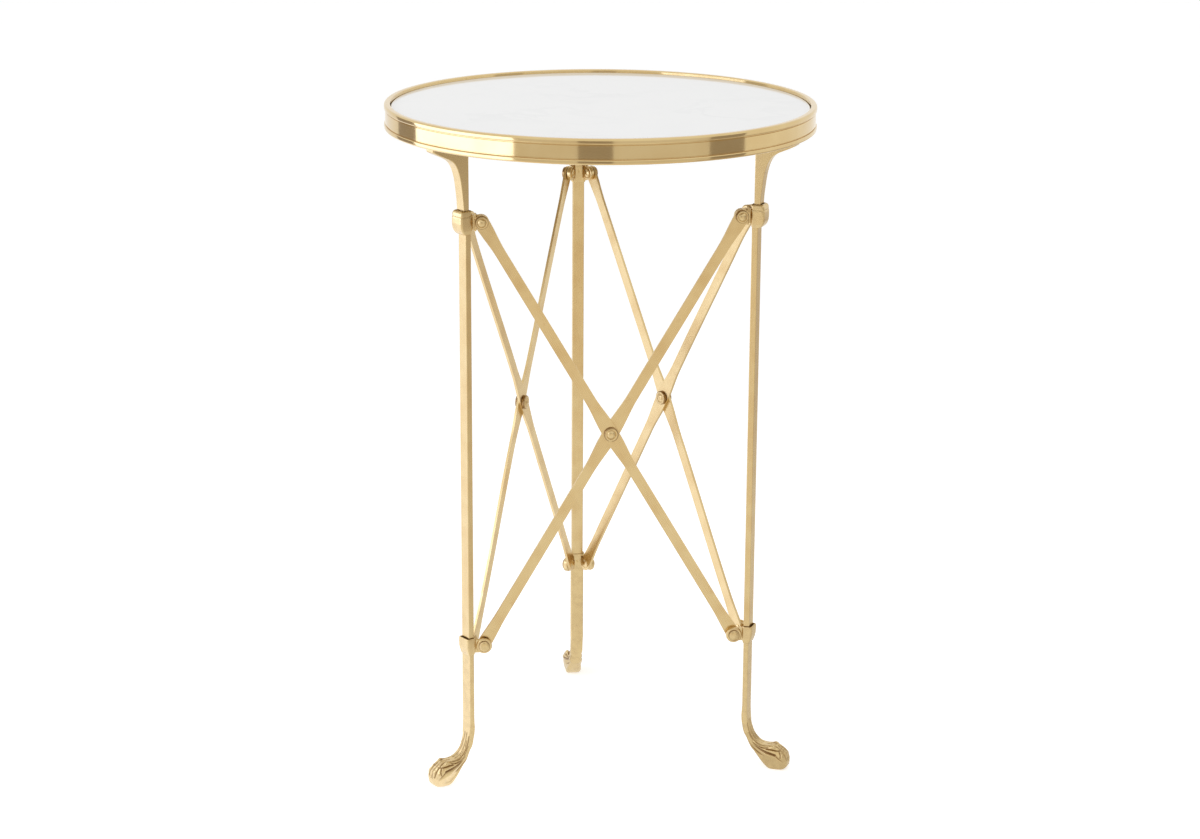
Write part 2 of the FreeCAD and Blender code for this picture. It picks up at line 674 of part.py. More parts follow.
def toe(along, tip_out):
    """One toe: a round-ended finger that slopes from its knuckle down to the floor."""
    radius = size("toe_radius")
    tip = leg_point(tip_out - radius, along, size("paw_height") * TOE_TIP_SHARE)
    knuckle = leg_point(size("foot_reach") * KNUCKLE_SHARES[0], along * KNUCKLE_SPREAD_SHARE,
                        size("paw_height") * KNUCKLE_SHARES[1])
    finger = Part.makeCylinder(radius, (tip - knuckle).Length, knuckle, tip - knuckle)
    return finger.fuse([Part.makeSphere(radius, tip), Part.makeSphere(radius, knuckle)])


def paw_shape():
    reach = size("foot_reach")
    width = size("paw_width")
    paw_height = size("paw_height")
    ankle_height = size("ankle_height")
    half_depth = size("shank_depth / 2")
    half_width = size("shank_width / 2")
    shank_base = leg_point(-half_depth, -half_width, ankle_height)
    shank = Part.makeBox(2 * half_depth, 2 * half_width, size("foot_top") - ankle_height, shank_base)
    ankle = leg_point(0, 0, ankle_height)
    wires = [foot_section(ankle, 0, half_depth, half_width, SHANK_ROUNDNESS_SHARE)]
    for shares, lean in zip(FOOT_SECTION_SHARES, FOOT_SECTION_ANGLES):
        out_share, paw_share, ankle_share, depth_share, width_share = shares
        height = paw_height * paw_share + (ankle_height - paw_height) * ankle_share
        centre = leg_point(reach * out_share, 0, height)
        wires.append(foot_section(centre, lean, paw_height * depth_share, width * width_share,
                                  PAW_ROUNDNESS_SHARE))
    paw = Part.makeLoft(wires, True, False)
    toes = []
    for share in TOE_SHARES:
        is_outer_toe = abs(share) == max(TOE_SHARES)
        tip_out = reach - (size("toe_radius") * TOE_PULLBACK_SHARE if is_outer_toe else 0)
        toes.append(toe(width * share, tip_out))
    paw = paw.fuse([shank] + toes)
    floor_base = leg_point(-reach, -width, -paw_height)
    floor = Part.makeBox(3 * reach, 2 * width, paw_height, floor_base)
    stud_base = leg_point(0, 0, size("foot_top - stud_length / 2"))
    stud = Part.makeCylinder(size("stud_radius + stud_clearance"), size("stud_length"), stud_base)
    return paw.cut([floor, stud])


# Studs join the bar to its capital and its foot, and pins hold the collars on the bar.
def add_studs_and_pins():
    half_stud = size("stud_length / 2")
    for label, middle, height in (("capital_studs", CAPITAL_STUD_MIDDLE, CAPITAL_FOOT),
                                  ("foot_studs", "leg_circle_radius", "foot_top")):
        base = FreeCAD.Vector(size(middle), 0, size(height) - half_stud)
        stud = cylinder(f"{label}_rod", "stud_radius", "stud_length", base)
        keep(label, group(label, stud, [turned(angle) for angle in LEG_ANGLES.values()]))
    outward = FreeCAD.Vector(1, 0, 0)
    places = []
    for level in COLLAR_SHARES:
        for angle in LEG_ANGLES.values():
            place = FreeCAD.Placement(pin_place(level), FreeCAD.Rotation(UP, outward))
            places.append(turned(angle, place))
    pin = cylinder("collar_pin", "pin_radius", "collar_back_wall + pin_bite", FreeCAD.Vector())
    keep("collar_pins", group("collar_pins", pin, places))


# Braces are drawn flat: along X from the lower pivot to the upper one, thickness along Z.
# A brace is a strip that swells at the crossing and into a round eye at each end. Its lower end
# lies inside its ear and its upper end outside, so it is bent a little outwards on the way up.
def brace_outline():
    half = "brace_width / 2"
    eye = "brace_eye_radius"
    swell = "crossing_width / 2"
    crossing = f"({BRACE_LENGTH} * {CROSSING_SHARE})"
    near = f"({crossing} - crossing_length / 2)"
    far = f"({crossing} + crossing_length / 2)"
    lower_side = [
        ("0", eye),
        ("brace_taper", half),
        (f"{near} - brace_taper", half),
        (near, swell),
        (far, swell),
        (f"{far} + brace_taper", half),
        (f"{BRACE_LENGTH} - brace_taper", half),
        (BRACE_LENGTH, eye),
    ]
    outline = [(along, f"-({across})") for along, across in lower_side]
    outline.append((f"{BRACE_LENGTH} + {eye}", "0", eye))
    upper_side = list(reversed(lower_side))
    outline.append((*upper_side[0], eye))
    outline.extend(upper_side[1:])
    outline.append((f"-{eye}", "0", eye))
    outline[0] = (*outline[0], eye)
    return outline


def pocketed(body, base, sketch, both_ways):
    """A pocket through all of the body, checked because one that points away cuts nothing."""
    doc.recompute()
    solid_volume = base.Shape.Volume
    pocket = body.newObject("PartDesign::Pocket", f"{body.Name}_cut")
    pocket.Profile = sketch
    pocket.Type = "ThroughAll"
    pocket.Midplane = both_ways
    pocket.Reversed = not both_ways
    doc.recompute()
    if pocket.Shape.Volume >= solid_volume:
        raise ValueError(f"{body.Name} was not cut")
    return pocket


def bent(body, base, layer):
    """Takes off what lies above and below the bent strip, seen along the brace's edge."""
    crossing = f"({BRACE_LENGTH} * {CROSSING_SHARE})"
    near = f"{crossing} - brace_flat"
    far = f"{crossing} + brace_flat"
    last_flat = f"{BRACE_LENGTH} - brace_flat"
    before = "-brace_eye_radius - cut_overrun"
    after = f"{BRACE_LENGTH} + brace_eye_radius + cut_overrun"
    lap = BRACE_LAPS[layer]
    blank_top = f"{BRACE_STEP} + brace_thickness"
    sketch = new_sketch(body, "XZ_Plane")
    draw_outline(sketch, [
        (before, "brace_thickness"),
        ("brace_flat", "brace_thickness"),
        (near, f"{lap} + brace_thickness"),
        (far, f"{lap} + brace_thickness"),
        (last_flat, blank_top),
        (last_flat, f"{blank_top} + cut_overrun"),
        (before, f"{blank_top} + cut_overrun"),
    ])
    top_cut = pocketed(body, base, sketch, both_ways=True)
    sketch = new_sketch(body, "XZ_Plane")
    draw_outline(sketch, [
        ("brace_flat", "0"),
        ("brace_flat", "-cut_overrun"),
        (after, "-cut_overrun"),
        (after, BRACE_STEP),
        (last_flat, BRACE_STEP),
        (far, lap),
        (near, lap),
    ])
    return pocketed(body, top_cut, sketch, both_ways=True)


def add_brace(bay, angle, layer):
    name = f"{bay}_bay_{layer}_brace"
    body = new_body(name)
    sketch = new_sketch(body, "XY_Plane")
    draw_outline(sketch, brace_outline())
    blank = padded(body, sketch, f"brace_thickness + {BRACE_STEP}")
    strip = bent(body, blank, layer)
    hole_sketch = new_sketch(body, "XY_Plane")
    for along in ("0", f"{BRACE_LENGTH} * {CROSSING_SHARE}", BRACE_LENGTH):
        draw_circle(hole_sketch, along, "0", "rivet_radius + rivet_clearance")
    pocketed(body, strip, hole_sketch, both_ways=False)
    keep(name, body)
    body.Placement = turned(angle, brace_place(BRACE_SENSE[layer] * BAY_SENSE[bay]))


def bay_plane(out):
    """Distance of a plane of the bay from the table's axis."""
    return size(f"leg_circle_radius / 2 + bay_offset + {out}")


# Seats are measured from the middle plane of the ears, laps from the seat of the lower end. In
# the right bay the braces cross the other way over.
INNER_SEAT = "(-ear_thickness / 2 - brace_clearance - brace_thickness)"
CROSSING_SEAT = "(-brace_clearance / 2 - brace_thickness)"
BRACE_LAPS = {
    "outer": f"(brace_clearance / 2 - {INNER_SEAT})",
    "inner": f"({CROSSING_SEAT} - {INNER_SEAT})",
}
BRACE_SENSE = {"outer": -1, "inner": 1}
BAY_SENSE = {"front": 1, "right": -1, "left": 1}


def brace_place(sense):
    """A brace's place in its bay: +X away from the table's axis, +Y along the bay."""
    along = FreeCAD.Vector(0, sense * size(BRACE_RUN), size(BRACE_RISE)).normalize()
    outward = FreeCAD.Vector(1, 0, 0)
    lower_pivot = FreeCAD.Vector(bay_plane(INNER_SEAT),
                                 -sense * size(f"{BAY_CHORD} / 2 - lower_ear_reach"),
                                 size("lower_pivot_height"))
    return FreeCAD.Placement(lower_pivot, FreeCAD.Rotation(along, outward.cross(along), outward, "XZY"))


# Rivets have a domed head at both ends. Their profiles run along Z from face to face.
def dome_radius(radius, height):
    return f"(pow({radius}; 2) + pow({height}; 2)) / (2 * {height})"


def pivot_rivet_profile(level):
    grip = f"({EYE_THICKNESS[level]} + brace_clearance + brace_thickness)"
    head = "rivet_head_radius"
    rise = "rivet_head_height"
    return [
        ("0", f"-{rise}"),
        (head, "0", dome_radius(head, rise)),
        ("rivet_radius", "0"),
        ("rivet_radius", grip),
        (head, grip),
        ("0", f"{grip} + {rise}", dome_radius(head, rise)),
    ]


def crossing_rivet_profile():
    grip = "(2 * brace_thickness + brace_clearance)"
    disc = "crossing_disc_radius"
    dome = "crossing_dome_radius"
    bulge = dome_radius(dome, "crossing_dome_height")
    step = "crossing_disc_height"
    return [
        ("0", f"-{step} - crossing_dome_height"),
        (dome, f"-{step}", bulge),
        (disc, f"-{step}"),
        (disc, "0"),
        ("rivet_radius", "0"),
        ("rivet_radius", grip),
        (disc, grip),
        (disc, f"{grip} + {step}"),
        (dome, f"{grip} + {step}"),
        ("0", f"{grip} + {step} + crossing_dome_height", bulge),
    ]


def pivot_places(level):
    """Each leg has an ear on both sides. Braces lie outside the upper ears and inside the lower ones."""
    inner_face = {"upper": "-ear_thickness / 2", "lower": INNER_SEAT}[level]
    places = []
    for angle in LEG_ANGLES.values():
        for side in SIDES:
            base = bay_point(side, size(f"{level}_ear_reach"), size(f"bay_offset + {inner_face}"),
                             size(f"{level}_pivot_height"))
            place = FreeCAD.Placement(base, FreeCAD.Rotation(UP, bay_direction(side)))
            places.append(turned(angle, place))
    return places


def crossing_places():
    """The crossing of the braces in every bay, at the inner face of the inner brace."""
    height = size(f"lower_pivot_height + {BRACE_RISE} * {CROSSING_SHARE}")
    outward = FreeCAD.Vector(1, 0, 0)
    base = FreeCAD.Vector(bay_plane(CROSSING_SEAT), 0, height)
    place = FreeCAD.Placement(base, FreeCAD.Rotation(UP, outward))
    return [turned(angle, place) for angle in BAY_ANGLES.values()]


def add_rivets():
    for level in COLLAR_SHARES:
        rivet = new_body(f"{level}_pivot_rivet")
        revolved(rivet, pivot_rivet_profile(level))
        keep(f"{level}_pivot_rivets", group(f"{level}_pivot_rivets", rivet, pivot_places(level)))
    crossing = new_body("crossing_rivet")
    revolved(crossing, crossing_rivet_profile())
    keep("crossing_rivets", group("crossing_rivets", crossing, crossing_places()))


add_rim()
add_slab()
add_plate()
add_screws()
paw = paw_shape()
for leg, angle in LEG_ANGLES.items():
    add_capital(leg, angle)
    add_leg_bar(leg, angle)
    for level in COLLAR_SHARES:
        add_collar(leg, angle, level)
    foot = doc.addObject("Part::Feature", f"{leg}_foot")
    foot.Shape = paw.copy()
    keep(f"{leg}_paw_foot", foot, angle)
add_studs_and_pins()
for bay, angle in BAY_ANGLES.items():
    for layer in BRACE_LAPS:
        add_brace(bay, angle, layer)
add_rivets()
doc.recompute()

for item in doc.Objects:
    if "Invalid" in item.State or "Error" in item.State:
        raise RuntimeError(f"{item.Name} failed: {item.State}")
for label, item in nodes.items():
    if item.Shape.isNull() or not item.Shape.isValid():
        raise RuntimeError(f"{label} has no valid shape")

os.makedirs("parts", exist_ok=True)
for label, item in nodes.items():
    item.Shape.exportStep(f"parts/{label}.step")
    print(label, len(item.Shape.Solids), round(item.Shape.Volume, 1))
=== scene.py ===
import math

import bpy
import numpy as np
from mathutils import Matrix, Vector


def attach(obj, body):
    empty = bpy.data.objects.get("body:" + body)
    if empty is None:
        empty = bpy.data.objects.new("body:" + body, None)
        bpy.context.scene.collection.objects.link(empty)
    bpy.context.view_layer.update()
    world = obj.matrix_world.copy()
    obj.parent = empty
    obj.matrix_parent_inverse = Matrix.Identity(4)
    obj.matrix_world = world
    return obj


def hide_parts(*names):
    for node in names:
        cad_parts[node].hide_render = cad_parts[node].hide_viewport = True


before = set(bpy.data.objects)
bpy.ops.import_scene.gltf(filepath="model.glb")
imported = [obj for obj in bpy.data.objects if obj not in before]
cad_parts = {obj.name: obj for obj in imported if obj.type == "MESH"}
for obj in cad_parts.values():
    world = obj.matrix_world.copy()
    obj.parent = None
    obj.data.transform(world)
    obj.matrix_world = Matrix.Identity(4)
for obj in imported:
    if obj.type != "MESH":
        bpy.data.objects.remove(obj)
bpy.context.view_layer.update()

# The leg bars: three straight lengths of drawn flat brass bar, brushed lengthwise, with eased
# arrises. Each stands on the shank of a paw foot inside the lower collar and carries a capital
# inside the upper one. Legs are made in a frame of their own, +X away from the table's axis.
LEG_ANGLES = {"back": 90, "left": 210, "right": 330}
leg_circle = 0.157
bar_foot, bar_top = 0.130, 0.5545
bar_half_depth, bar_half_width = 0.003, 0.00575
bar_arris = 0.0007


def begin(name, primitive, **settings):
    """A new mesh of its own, left in edit mode with all of it selected."""
    bpy.ops.object.select_all(action="DESELECT")
    primitive(location=(0, 0, 0), enter_editmode=True, **settings)
    piece = bpy.context.object
    piece.name = piece.data.name = name
    return piece


def only(piece):
    """Back to object mode with this piece alone selected and active."""
    if bpy.context.mode != "OBJECT":
        bpy.ops.object.mode_set(mode="OBJECT")
    bpy.ops.object.select_all(action="DESELECT")
    piece.select_set(True)
    bpy.context.view_layer.objects.active = piece
    return piece


def throw_away(piece):
    only(piece)
    bpy.ops.object.delete()


def block(name, low, high):
    """A squared block between two corners."""
    piece = begin(name, bpy.ops.mesh.primitive_cube_add, size=1)
    bpy.ops.transform.resize(value=[b - a for a, b in zip(low, high)], center_override=(0, 0, 0))
    bpy.ops.transform.translate(value=[(a + b) / 2 for a, b in zip(low, high)])
    return only(piece)


def worked(piece, kind, **settings):
    """Adds a modifier and applies it."""
    only(piece)
    modifier = piece.modifiers.new(kind, kind)
    for key, value in settings.items():
        setattr(modifier, key, value)
    bpy.ops.object.modifier_apply(modifier=modifier.name)
    return piece


def eased(piece, width, segments=2):
    return worked(piece, "BEVEL", width=width, segments=segments, limit_method="ANGLE")


def smooth(piece, degrees):
    only(piece)
    bpy.ops.object.shade_smooth_by_angle(angle=math.radians(degrees))
    return piece


def flat_faced(piece):
    """Broad faces stay flat in the light and only the arrises turn it."""
    return worked(smooth(piece, 50), "WEIGHTED_NORMAL", keep_sharp=True, weight=100)


def marked(piece):
    """Keeps where each point lay on the bench, so that the grain goes with the piece."""
    places = [0.0] * (3 * len(piece.data.vertices))
    piece.data.vertices.foreach_get("co", places)
    bench = piece.data.attributes.new("bench", "FLOAT_VECTOR", "POINT")
    bench.data.foreach_set("vector", places)
    return piece


def copied(piece, name):
    """A copy with a mesh of its own."""
    only(piece)
    bpy.ops.object.duplicate()
    copy = bpy.context.object
    copy.name = copy.data.name = name
    return copy


def put(piece, place):
    """Moves the mesh to its place; the object itself stays at the origin."""
    only(piece)
    piece.matrix_world = place
    bpy.ops.object.transform_apply(location=True, rotation=True, scale=True)
    return piece


def turn(degrees, axis="Z"):
    return Matrix.Rotation(math.radians(degrees), 4, axis)


def fitted(piece, node, finish, body="stand"):
    """The finished piece stands for its node and takes the finish of its slot."""
    piece.data.materials.clear()
    piece.data.materials.append(finish)
    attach(piece, body)
    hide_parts(node)


def fit_to_legs(piece, kind, finish):
    """One copy of a leg's piece for each leg; the pattern itself is thrown away."""
    marked(piece)
    for leg, angle in LEG_ANGLES.items():
        copy = put(copied(piece, f"{kind}.{leg}"), turn(angle))
        fitted(copy, f"{leg}_{kind}", finish)
    throw_away(piece)


class Wire:
    """A shader value: arithmetic on it makes Math nodes, and node() makes any other."""

    def __init__(self, tree, socket):
        self.tree = tree
        self.socket = socket

    def node(self, kind, output, inputs, **settings):
        made = self.tree.nodes.new(kind)
        for key, value in settings.items():
            setattr(made, key, value)
        for key, value in inputs.items():
            if isinstance(value, Wire):
                self.tree.links.new(value.socket, made.inputs[key])
            else:
                made.inputs[key].default_value = value
        return Wire(self.tree, made.outputs[output])

    def reckon(self, operation, first, second):
        return self.node("ShaderNodeMath", 0, {0: first, 1: second}, operation=operation)

    def __add__(self, other):
        return self.reckon("ADD", self, other)

    def __sub__(self, other):
        return self.reckon("SUBTRACT", self, other)

    def __mul__(self, other):
        return self.reckon("MULTIPLY", self, other)

    def __truediv__(self, other):
        return self.reckon("DIVIDE", self, other)

    def __pow__(self, other):
        return self.reckon("POWER", self, other)

    def __radd__(self, other):
        return self.reckon("ADD", other, self)

    def __rsub__(self, other):
        return self.reckon("SUBTRACT", other, self)

    def __rmul__(self, other):
        return self.reckon("MULTIPLY", other, self)

    def __rtruediv__(self, other):
        return self.reckon("DIVIDE", other, self)

    def between(self, low, high, start, stop):
        """Runs from start to stop as the value goes from low to high."""
        return self.node("ShaderNodeMapRange", "Result",
                         {"Value": self, "From Min": low, "From Max": high, "To Min": start, "To Max": stop})

    def tint(self, first, second):
        """A colour between two, this value being the share of the second."""
        return self.node("ShaderNodeMix", "Result", {"Factor": self, "A": first, "B": second},
                         data_type="RGBA")

    def speckle(self, size, detail=3.0, roughness=0.5):
        """Noise with lumps of about this size, over this vector."""
        return self.node("ShaderNodeTexNoise", "Fac",
                         {"Vector": self, "Scale": 1 / size, "Detail": detail, "Roughness": roughness})

    def stretched(self, scale):
        return self.node("ShaderNodeMapping", "Vector", {"Vector": self, "Scale": scale})

    def parts(self):
        split = self.tree.nodes.new("ShaderNodeSeparateXYZ")
        self.tree.links.new(self.socket, split.inputs[0])
        return [Wire(self.tree, output) for output in split.outputs]

    def bump(self, depth, strength):
        return self.node("ShaderNodeBump", "Normal",
                         {"Height": self, "Distance": depth, "Strength": strength})

    def feed(self, shader, name):
        self.tree.links.new(self.socket, shader.inputs[name])


def new_finish(name, colour, metallic, roughness):
    material = bpy.data.materials.new(name)
    material.use_nodes = True
    shader = material.node_tree.nodes["Principled BSDF"]
    shader.inputs["Base Color"].default_value = (*colour, 1)
    shader.inputs["Metallic"].default_value = metallic
    shader.inputs["Roughness"].default_value = roughness
    return material, shader


def bench_place(material):
    tree = material.node_tree
    place = tree.nodes.new("ShaderNodeAttribute")
    place.attribute_name = "bench"
    return Wire(tree, place.outputs["Vector"])


brass_tone = (0.70, 0.53, 0.27)
clean_brass = (0.71, 0.54, 0.275, 1)
warm_brass = (0.66, 0.475, 0.225, 1)
spot_brown = (0.50, 0.29, 0.12, 1)


def brushed_brass(name, along):
    """Brass brushed along one axis of the bench: long fine scratches over a faint tarnish."""
    scratch_width, scratch_stretch = 0.00035, 0.012
    tarnish_size, spot_size = 0.018, 0.032
    material, shader = new_finish(name, brass_tone, metallic=1, roughness=0.25)
    bench = bench_place(material)
    lengthwise = [1, 1, 1]
    lengthwise[along] = scratch_stretch
    scratches = bench.stretched(lengthwise).speckle(scratch_width, detail=4)
    tarnish = bench.speckle(tarnish_size, detail=4)
    plain = tarnish.between(0.35, 0.7, 0, 1).tint(clean_brass, warm_brass)
    spots = bench.speckle(spot_size, detail=5, roughness=0.6).between(0.64, 0.74, 0, 0.6)
    spots.tint(plain, spot_brown).feed(shader, "Base Color")
    rough = scratches.between(0.3, 0.7, 0.2, 0.3) + tarnish.between(0.3, 0.7, -0.03, 0.04)
    rough.feed(shader, "Roughness")
    scratches.bump(0.00001, 0.25).feed(shader, "Normal")
    return material


bar_finish = brushed_brass("brushed_bar_brass", along=2)
leg_bar = block("leg_bar", (leg_circle - bar_half_depth, -bar_half_width, bar_foot),
                (leg_circle + bar_half_depth, bar_half_width, bar_top))
flat_faced(eased(leg_bar, bar_arris, 3))
fit_to_legs(leg_bar, "leg_bar", bar_finish)

# The capitals: cast brass brackets, straight inside, whose outer side sweeps out to a flat head
# under the rim. Each stands in the mouth of its collar and is screwed to the plate from above.
# The profile gives the outer side: distance from the table's axis, and height.
capital_profile = [
    (0.1618, 0.5545), (0.1619, 0.560), (0.1623, 0.566), (0.1630, 0.572), (0.1639, 0.579), (0.1650, 0.586),
    (0.1664, 0.5915), (0.1680, 0.596), (0.1697, 0.5994), (0.1715, 0.602), (0.1736, 0.604), (0.1760, 0.6056),
    (0.1790, 0.6072), (0.1820, 0.6085), (0.1850, 0.6098), (0.1880, 0.6111), (0.1915, 0.6128),
    (0.1944, 0.6143), (0.1950, 0.6152), (0.1950, 0.6190),
]
capital_inner, capital_half_width = 0.1558, 0.0055
inner_sweep, sweep_foot, sweep_rise = 0.0018, 0.6, 0.019
capital_corner_share = 0.13
weld_distance = 0.000001
cast_bright = (0.71, 0.535, 0.27, 1)
# The dark tone is painted shade in the hollows, mixed with the patina.
shade_and_patina_dark = (0.27, 0.15, 0.055, 1)
furrow_shade_patina_brown = (0.24, 0.125, 0.045, 1)


def ring(name, corner):
    """A square ring of half side 1 with rounded corners, filled, to be drawn out."""
    piece = begin(name, bpy.ops.mesh.primitive_plane_add, size=2)
    bpy.ops.mesh.bevel(offset=corner, segments=5, affect="VERTICES")
    return piece


def draw_out(piece, sections):
    """Sizes the ring to the first section and draws it on through the others. A section is its
    middle (out, along, height), its half depth and half width, and its lean from level."""
    spot, deep, wide, lean = Vector((0, 0, 0)), 1, 1, 0
    for number, (middle, next_deep, next_wide, next_lean) in enumerate(sections):
        if number:
            bpy.ops.mesh.extrude_region_move(TRANSFORM_OT_translate={"value": (0, 0, 0)})
        if lean:
            bpy.ops.transform.rotate(value=math.radians(-lean), orient_axis="Y", center_override=spot)
        bpy.ops.transform.resize(value=(next_deep / deep, next_wide / wide, 1), center_override=spot)
        if next_lean:
            bpy.ops.transform.rotate(value=math.radians(next_lean), orient_axis="Y", center_override=spot)
        bpy.ops.transform.translate(value=Vector(middle) - spot)
        spot, deep, wide, lean = Vector(middle), next_deep, next_wide, next_lean


def opened(piece):
    """Back into edit mode with all of the piece selected."""
    only(piece)
    bpy.ops.object.mode_set(mode="EDIT")
    bpy.ops.mesh.select_all(action="SELECT")


def closed(piece):
    """Faces outwards, doubled points merged."""
    opened(piece)
    bpy.ops.mesh.remove_doubles(threshold=weld_distance)
    bpy.ops.mesh.normals_make_consistent(inside=False)
    return only(piece)


def cast_brass(name, hollows, patina):
    """Cast brass: a faint grain, bright edges, hollows darkened by painted shade, furrows darkened by
    painted shade and patina, and a cloudy patina.
    """
    tarnish_size, grain_size = 0.006, 0.0025
    material, shader = new_finish(name, (0.69, 0.51, 0.25), metallic=1, roughness=0.28)
    bench = bench_place(material)
    tarnish = bench.speckle(tarnish_size, detail=4)
    # Pointiness finds the hollows, which take painted shade.
    hollow = bench.node("ShaderNodeNewGeometry", "Pointiness", {}).between(0.43, 0.497, 1, 0)
    shade = hollow * hollows + tarnish.between(0.42, 0.75, 0, patina)
    # The furrow mask adds painted shade and patina to carved furrows, and painted shade to the rims of rivet
    # heads.
    furrow = bench.node("ShaderNodeAttribute", "Fac", {}, attribute_name="furrow").between(0.1, 0.9, 0, 0.72)
    furrow.tint(shade.tint(cast_bright, shade_and_patina_dark), furrow_shade_patina_brown).feed(shader, "Base Color")
    (tarnish.between(0.3, 0.7, 0.21, 0.31) + hollow * 0.15).feed(shader, "Roughness")
    bench.speckle(grain_size, detail=1).bump(0.00002, 0.15).feed(shader, "Normal")
    return material


casting_finish = cast_brass("cast_brass", hollows=0.6, patina=0.15)
capital = ring("capital", capital_corner_share)
capital_sections = []
for outer, height in capital_profile:
    inner = capital_inner - inner_sweep * max(0, (height - sweep_foot) / sweep_rise) ** 2
    capital_sections.append((((inner + outer) / 2, 0, height), (outer - inner) / 2, capital_half_width, 0))
draw_out(capital, capital_sections)
flat_faced(closed(capital))
fit_to_legs(capital, "capital", casting_finish)

# The upper collars: cast barrel cups with a turned band below the mouth, from which the capital
# rises. Two flat ears point along the bays and carry the braces on their outer faces.
BAY_LEAN = 60
ear_reach, ear_offset = 0.015, 0.0025
ear_radius, ear_half_thick, ear_back, ear_arris = 0.0071, 0.0012, 0.0034, 0.0010
web_root, upper_web_half = 0.004, 0.007
rib_low, rib_high, rib_arris = (-0.0066, -0.0085, -0.0016), (-0.0046, 0.0085, 0.0022), 0.0006
upper_pivot = 0.5465
upper_mouth, upper_brim, upper_mouth_floor = (0.1539, 0.1632, 0.00645), 0.5575, 0.5520
cup_corner_share = 0.30
collar_grain, collar_softening = 0.0003, 3


def placed(x_axis, y_axis, z_axis, spot):
    """The place whose axes and origin these are."""
    return Matrix((*zip(x_axis, y_axis, z_axis, spot), (0, 0, 0, 1)))


def bay_matrix(side, along, out, height):
    """A place beside a leg: X along the bay away from the leg, Z out of the bay; side -1 is mirrored."""
    lean = math.radians(BAY_LEAN)
    outward = Vector((math.cos(lean), side * math.sin(lean), 0))
    away = Vector((-math.sin(lean), side * math.cos(lean), 0))
    spot = Vector((leg_circle, 0, height)) + away * along + outward * (ear_offset + out)
    return placed(away, outward.cross(away), outward, spot)


def disc(name, radius, low, high, segments=64):
    """A round disc along Z."""
    piece = begin(name, bpy.ops.mesh.primitive_cylinder_add, vertices=segments, radius=radius,
                  depth=high - low)
    bpy.ops.transform.translate(value=(0, 0, (low + high) / 2))
    return only(piece)


def joined(name, pieces):
    only(pieces[0])
    for piece in pieces[1:]:
        piece.select_set(True)
    bpy.ops.object.join()
    whole = bpy.context.object
    whole.name = whole.data.name = name
    return whole


def cast_whole(name, pieces, grain, soften):
    """Melts pieces that overlap into one casting with soft edges."""
    whole = joined(name, pieces)
    worked(whole, "REMESH", mode="VOXEL", voxel_size=grain, use_smooth_shade=True)
    worked(whole, "SMOOTH", factor=0.5, iterations=soften)
    return whole


def cut_with(piece, tool):
    """Cuts the tool out of the piece and throws the tool away."""
    worked(piece, "BOOLEAN", operation="DIFFERENCE", object=tool, solver="EXACT")
    throw_away(tool)


def cup_sections(walls, inner, outer, half_width):
    """Sections of a collar's cup: height, and how far its walls stand out all round."""
    sections = []
    for height, back, front, side in walls:
        low, high = inner - back, outer + front
        sections.append((((low + high) / 2, 0, height), (high - low) / 2, half_width + side, 0))
    return sections


def hollowed(piece, low, high, half_width, top, floor):
    """Draws the top face of a cup in and down into a mouth."""
    middle = (low + high) / 2
    for height in (top, floor):
        bpy.ops.mesh.extrude_region_move(TRANSFORM_OT_translate={"value": (0, 0, 0)})
        bpy.ops.object.mode_set(mode="OBJECT")
        spans = [(min(c), max(c)) for c in zip(*[v.co.copy() for v in piece.data.vertices if v.select])]
        bpy.ops.object.mode_set(mode="EDIT")
        spot = Vector([(a + b) / 2 for a, b in spans])
        deep, wide = [b - a for a, b in spans[:2]]
        bpy.ops.transform.resize(value=((high - low) / deep, 2 * half_width / wide, 1), center_override=spot)
        bpy.ops.transform.translate(value=Vector((middle, 0, height)) - spot)
    return closed(piece)


upper_cup = ring("upper_cup", cup_corner_share)
draw_out(upper_cup, cup_sections([
    (0.5350, 0.0001, 0.0012, 0.0003), (0.5356, 0.0004, 0.0024, 0.0008), (0.5368, 0.0007, 0.0039, 0.0013),
    (0.5388, 0.0009, 0.0053, 0.0018), (0.5418, 0.0010, 0.0064, 0.0021), (0.5455, 0.0010, 0.0068, 0.0022),
    (0.5505, 0.0010, 0.0067, 0.0022), (0.5517, 0.0010, 0.0066, 0.0021), (0.5521, 0.0009, 0.0062, 0.0018),
    (0.5525, 0.0009, 0.0062, 0.0018), (0.5529, 0.0010, 0.0065, 0.0021), (0.5556, 0.0009, 0.0061, 0.0020),
    (0.5569, 0.0007, 0.0052, 0.0016), (0.5575, 0.0004, 0.0040, 0.0013),
], leg_circle - bar_half_depth, leg_circle + bar_half_depth, bar_half_width))
hollowed(upper_cup, *upper_mouth, upper_brim, upper_mouth_floor)
upper_parts = [upper_cup]
for side in (1, -1):
    ear = eased(disc("upper_ear", ear_radius, -ear_back, ear_half_thick), ear_arris, 3)
    web = block("upper_web", (web_root - ear_reach, -upper_web_half, -ear_half_thick),
                (0, upper_web_half, ear_half_thick))
    rib = eased(block("upper_rib", rib_low, rib_high), rib_arris)
    for part in (ear, web, rib):
        upper_parts.append(put(part, bay_matrix(side, ear_reach, 0, upper_pivot)))
upper_collar = cast_whole("upper_collar", upper_parts, collar_grain, collar_softening)
fit_to_legs(upper_collar, "upper_collar", casting_finish)

